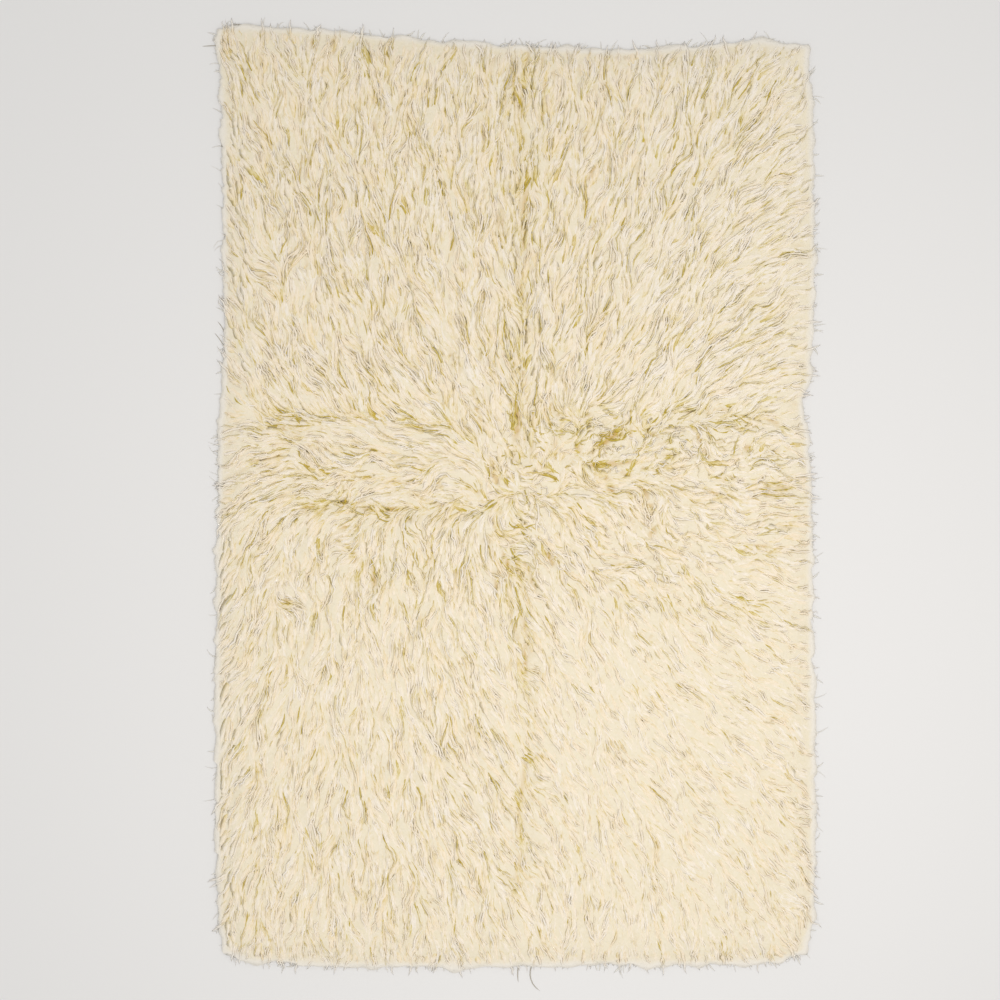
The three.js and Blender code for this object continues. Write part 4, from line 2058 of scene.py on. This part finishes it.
@dataclass
class RimStrands:
    """Strands that have worked out of the rim, and lie over the floor around it."""

    top: PileTop
    look: RimLook
    outwards: tuple[float, float] = (0.6, 1.3)
    stray: float = 0.2
    down_at: float = 0.8
    tints: tuple[float, float] = (0.6, 1.0)
    widths: tuple[float, float] = (0.6, 1.3)

    def strands(self) -> Strands:
        """Works out the strands."""
        look = self.look
        rng = np.random.default_rng(look.seed)
        x, y = self.roots(rng)
        out_x, out_y = OUTLINE.outwards(x, y)
        lie = LIE.course(x, y)
        out = look.turned_out * rng.uniform(*self.outwards, look.count)
        heading = np.arctan2(np.sin(lie) + out * out_y, np.cos(lie) + out * out_x)
        heading = heading + rng.normal(0.0, self.stray, look.count)
        t = look.shape.alongs()
        bend = look.bend * rng.normal(0.0, 1.0, look.count)[:, None]
        angle = heading[:, None] + bend * t
        length = rng.uniform(*look.length, look.count)[:, None]
        line_x, line_y = walk(x[:, None], y[:, None], angle, t, length)
        tip_height = rng.uniform(*look.tip_height, look.count)[:, None]
        z = look.root_height + (tip_height - look.root_height) * ease(0.0, self.down_at, t)
        tone = np.ones_like(z)
        tint = rng.uniform(*self.tints, look.count)
        width = look.width * rng.uniform(*self.widths, look.count)
        return Strands(
            look.shape, line_x, line_y, z, angle, width, look.flatness, tone, tint, self.top.creases
        )

    def roots(self, rng: np.random.Generator) -> tuple[Array, Array]:
        """Draws the strands' roots along the four edges, a set share of them on each.

        Args:
            rng: The draw.

        Returns:
            Their X and Y.
        """
        count = self.look.count
        along = rng.uniform(-1.0, 1.0, count)
        side = rng.choice(4, count, p=SIDE_SHARES)
        u = np.select([side == 0, side == 1], [-1.0, 1.0], along)
        v = np.select([side == 2, side == 3], [1.0, -1.0], along)
        return OUTLINE.point(u, v, self.look.root_inside)

    def build(self, wool: Material) -> Object:
        """Builds the strands.

        Args:
            wool: Their finish.

        Returns:
            The piece.
        """
        return show(self.strands().mesh(self.look.name), wool)


@dataclass(frozen=True)
class TrailingEnd:
    """A long yarn end that lies on the floor beside the rug.

    x and y are its root, heading is the compass heading there in degrees, and turn is by how many
    degrees it bends clockwise on its way.
    """

    x: float
    y: float
    heading: float
    length: float
    turn: float
    width: float


# The yarn ends that trail from the foot, the left edge and the head's left corner.
TRAILING = (
    TrailingEnd(x=15, y=-1178, heading=200, length=60, turn=-28, width=2.6),
    TrailingEnd(x=58, y=-1176, heading=236, length=98, turn=-112, width=2.6),
    TrailingEnd(x=-742, y=388, heading=-20, length=58, turn=-22, width=2.0),
    TrailingEnd(x=-745, y=430, heading=-10, length=42, turn=-34, width=2.0),
    TrailingEnd(x=-756, y=1176, heading=-88, length=48, turn=-6, width=2.2),
    TrailingEnd(x=-676, y=1230, heading=-92, length=54, turn=10, width=2.6),
)


@dataclass
class TrailingEnds:
    """The trailing yarn ends, which lie nearly flat."""

    top: PileTop
    flatness: float = 0.4
    root_height: float = 3.0
    tip_height: float = 0.4
    down_at: float = 0.7

    def strands(self) -> Strands:
        """Works out the strands."""
        t = YARN_SHAPE.alongs()
        column = {
            name: np.array([float(getattr(end, name)) for end in TRAILING])[:, None]
            for name in ("x", "y", "heading", "length", "turn", "width")
        }
        angle = np.radians(90.0 - column["heading"] - column["turn"] * t)
        x, y = walk(column["x"], column["y"], angle, t, column["length"])
        z = self.root_height + (self.tip_height - self.root_height) * ease(0.0, self.down_at, t)
        z = z + np.zeros_like(x)
        tone, tint = np.ones_like(x), np.ones(len(x))
        width, creases = column["width"][:, 0], self.top.creases
        return Strands(YARN_SHAPE, x, y, z, angle, width, self.flatness, tone, tint, creases)

    def build(self, wool: Material) -> Object:
        """Builds the strands.

        Args:
            wool: Their finish.

        Returns:
            The piece.
        """
        return show(self.strands().mesh("trailing_ends"), wool)


def even_shares(columns: int, rows: int) -> tuple[Array, Array]:
    """An even grid over the rug, as shares from -1 to 1 of its width and length.

    Args:
        columns: The number of steps across.
        rows: The number of steps along.

    Returns:
        The shares across and along.
    """
    u, v = np.linspace(-1, 1, columns + 1), np.linspace(-1, 1, rows + 1)
    across, along = np.meshgrid(u, v, indexing="ij")
    return across, along


@dataclass
class FeltedFoot:
    """The matted foot of the pile, a lumpy layer on the ground that shows between the locks."""

    top: PileTop
    inset: float = -18.0
    edge_wave: float = 3.5
    edge_ripple: float = 0.6
    columns: int = 172
    rows: int = 270
    crease_depth: float = 7.0
    under: float = 1.4
    under_lively: float = 1.6
    unevenness: float = 0.5
    rim_under: float = 3.4
    rim_width: float = 40.0
    bottom: float = 0.4
    least_felt: float = 1.5
    # Where the bleaching is full and where it ends, as distances inside the rim.
    bleached_from: float = -12.0
    bleached_to: float = 2.0

    def build(self, felt: Material) -> Object:
        """Builds the layer: a lumpy top, a low wall and a flat underside on the ground.

        Args:
            felt: The layer's finish.

        Returns:
            The piece.
        """
        grid_u, grid_v = even_shares(self.columns, self.rows)
        edge_x, edge_y = OUTLINE.point(grid_u, grid_v)
        ripple = self.edge_ripple * Drift(12, 32.0).at(edge_x, edge_y)
        wave = Drift(10, 70.0).at(edge_x, edge_y) + ripple
        x, y = OUTLINE.point(grid_u, grid_v, self.inset + self.edge_wave * wave)
        uneven = self.unevenness * (Drift(8, 30.0).at(x, y) + Drift(9, 50.0).at(x, y)) / 2
        crease = self.top.creases.at(x, y)
        inside = OUTLINE.inside(x, y)
        under = self.under + self.under_lively * lively(x, y)
        under = self.rim_under + (under - self.rim_under) * ease(0.0, self.rim_width, inside)
        z = self.top.at(x, y) - under + uneven - self.crease_depth * crease
        z = np.maximum(z, self.bottom + self.least_felt)
        mesh = layer_mesh("felted_foot", x, y, z, self.bottom)
        wall = len(mesh.vertices) - crease.size
        add_attribute(mesh, "crease", np.concatenate([crease.ravel(), np.zeros(wall)]))
        pale = 1.0 - ease(self.bleached_from, self.bleached_to, inside)
        add_attribute(mesh, "pale", np.concatenate([pale.ravel(), np.ones(wall)]))
        return show(mesh, felt)


def layer_mesh(name: str, x: Array, y: Array, z: Array, bottom: float) -> Mesh:
    """Makes a closed layer from a grid of its top, with a flat underside of one face.

    Args:
        name: The mesh's name.
        x: The grid's X.
        y: The grid's Y.
        z: The grid's heights.
        bottom: The underside's height.

    Returns:
        The mesh.
    """
    columns, rows = x.shape
    number = np.arange(columns * rows).reshape(columns, rows)
    rim = np.concatenate(
        [number[:-1, 0], number[-1, :-1], number[:0:-1, -1], number[0, :0:-1]]
    )
    under = columns * rows + np.arange(len(rim))
    quads = np.stack(
        [number[:-1, :-1], number[1:, :-1], number[1:, 1:], number[:-1, 1:]], 2
    ).reshape(-1, 4)
    wall = np.stack([rim, under, np.roll(under, -1), np.roll(rim, -1)], 1)
    corners = np.concatenate([quads.ravel(), wall.ravel(), under[::-1]])
    starts = np.arange(len(quads) + len(wall) + 1) * 4
    flat_x, flat_y = x.ravel(), y.ravel()
    points = np.stack(
        [
            np.concatenate([flat_x, flat_x[rim]]),
            np.concatenate([flat_y, flat_y[rim]]),
            np.concatenate([z.ravel(), np.full(len(rim), bottom)]),
        ],
        1,
    )
    return mesh_from(name, in_frame(points), corners, starts)


@dataclass
class WovenGround:
    """The ground cloth that the pile is woven into, flat on the floor."""

    inset: float = 6.0
    thickness: float = 3.0
    woven_width: float = 1490.0
    woven_length: float = 2320.0
    columns: int = 48
    rows: int = 76

    def build(self, cloth: Material) -> Object:
        """Builds the ground.

        Args:
            cloth: The ground's finish.

        Returns:
            The piece.
        """
        grid_u, grid_v = even_shares(self.columns, self.rows)
        x, y = OUTLINE.point(grid_u, grid_v, self.inset)
        mesh = layer_mesh("woven_ground", x, y, np.full_like(x, self.thickness), 0.0)
        return show(mesh, cloth)


@dataclass
class Studio:
    """A plain pale floor, a large soft lamp over the foot's half, and even light all round."""

    floor_side: float = 14.0
    lamp_place: tuple[float, float, float] = (0.5, -0.5, 2.7)
    lamp_side: float = 2.0
    lamp_power: float = 28.0
    lamp_colour: str = "#FFFAF6"
    sky_colour: str = "#F6F6F5"
    sky_strength: float = 0.85
    pixel: float = PIXEL * MM
    picture_side: float = 1000.0
    # The rug's middle in the picture.
    middle_pixel: tuple[float, float] = (513.0, 503.5)
    lens: float = 50.0
    sensor: float = 36.0
    pile_height: float = 0.03

    def floor(self, paint: Material) -> None:
        """Lays the floor.

        Args:
            paint: The floor's finish.
        """
        half = self.floor_side / 2
        mesh = bpy.data.meshes.new("floor")
        corners = [(-half, -half, 0), (half, -half, 0), (half, half, 0), (-half, half, 0)]
        mesh.from_pydata(corners, [], [(0, 1, 2, 3)])
        mesh.materials.append(paint)
        floor = bpy.data.objects.new("floor", mesh)
        bpy.context.scene.collection.objects.link(floor)

    def light(self) -> None:
        """Hangs the lamp and sets the light all round."""
        data = bpy.data.lights.new("soft_lamp", "AREA")
        data.shape, data.size, data.energy = "SQUARE", self.lamp_side, self.lamp_power
        data.color = linear(self.lamp_colour)[:3]
        lamp = bpy.data.objects.new("soft_lamp", data)
        lamp.location = self.lamp_place
        across = math.hypot(self.lamp_place[0], self.lamp_place[1])
        tilt = math.atan2(across, self.lamp_place[2])
        swing = math.atan2(self.lamp_place[1], self.lamp_place[0]) + math.pi / 2
        lamp.rotation_euler = (tilt, 0.0, swing)
        bpy.context.scene.collection.objects.link(lamp)
        world = bpy.data.worlds.new("studio")
        world.use_nodes = True
        sky = world.node_tree.nodes["Background"]
        sky.inputs["Color"].default_value = linear(self.sky_colour)
        sky.inputs["Strength"].default_value = self.sky_strength
        bpy.context.scene.world = world

    def camera(self) -> None:
        """Hangs the camera over the rug, looking straight down."""
        data = bpy.data.cameras.new("camera")
        data.lens, data.sensor_width = self.lens, self.sensor
        camera = bpy.data.objects.new("camera", data)
        view_width = self.picture_side * self.pixel
        height = view_width * self.lens / self.sensor + self.pile_height
        half = self.picture_side / 2
        x = (half - self.middle_pixel[0]) * self.pixel
        y = (self.middle_pixel[1] - half) * self.pixel
        camera.location = (x, y, height)
        data.clip_end = 100.0
        bpy.context.scene.collection.objects.link(camera)
        bpy.context.scene.camera = camera

    def build(self) -> None:
        """Builds the studio and sets the plain view of its colours."""
        self.camera()
        self.floor(PaleFloorPaint().material())
        self.light()
        bpy.context.scene.view_settings.view_transform = "Standard"


def main() -> None:
    """Builds the studio and the rug, layer by layer from the floor up."""
    logging.basicConfig(level=logging.INFO, format="%(name)s: %(message)s")
    Studio().build()
    top = PileTop()
    locks = Locks()
    LOG.info("locks: %d", locks.count)
    wool = WashedPileWool().material()
    pile = FeltedLocks(locks, top).build("locks", wool) + YarnEnds(locks, top).build("ends", wool)
    rim_wool = LooseRimWool().material()
    rim = [RimStrands(top, look).build(rim_wool) for look in (FRINGE, WISPS)]
    rim.append(TrailingEnds(top).build(ShadedEndWool().material()))
    foot = FeltedFoot(top).build(FeltedFootWool().material())
    woven = WovenGround()
    ground = woven.build(WovenGroundWool().material())


if __name__ == "__main__":
    main()
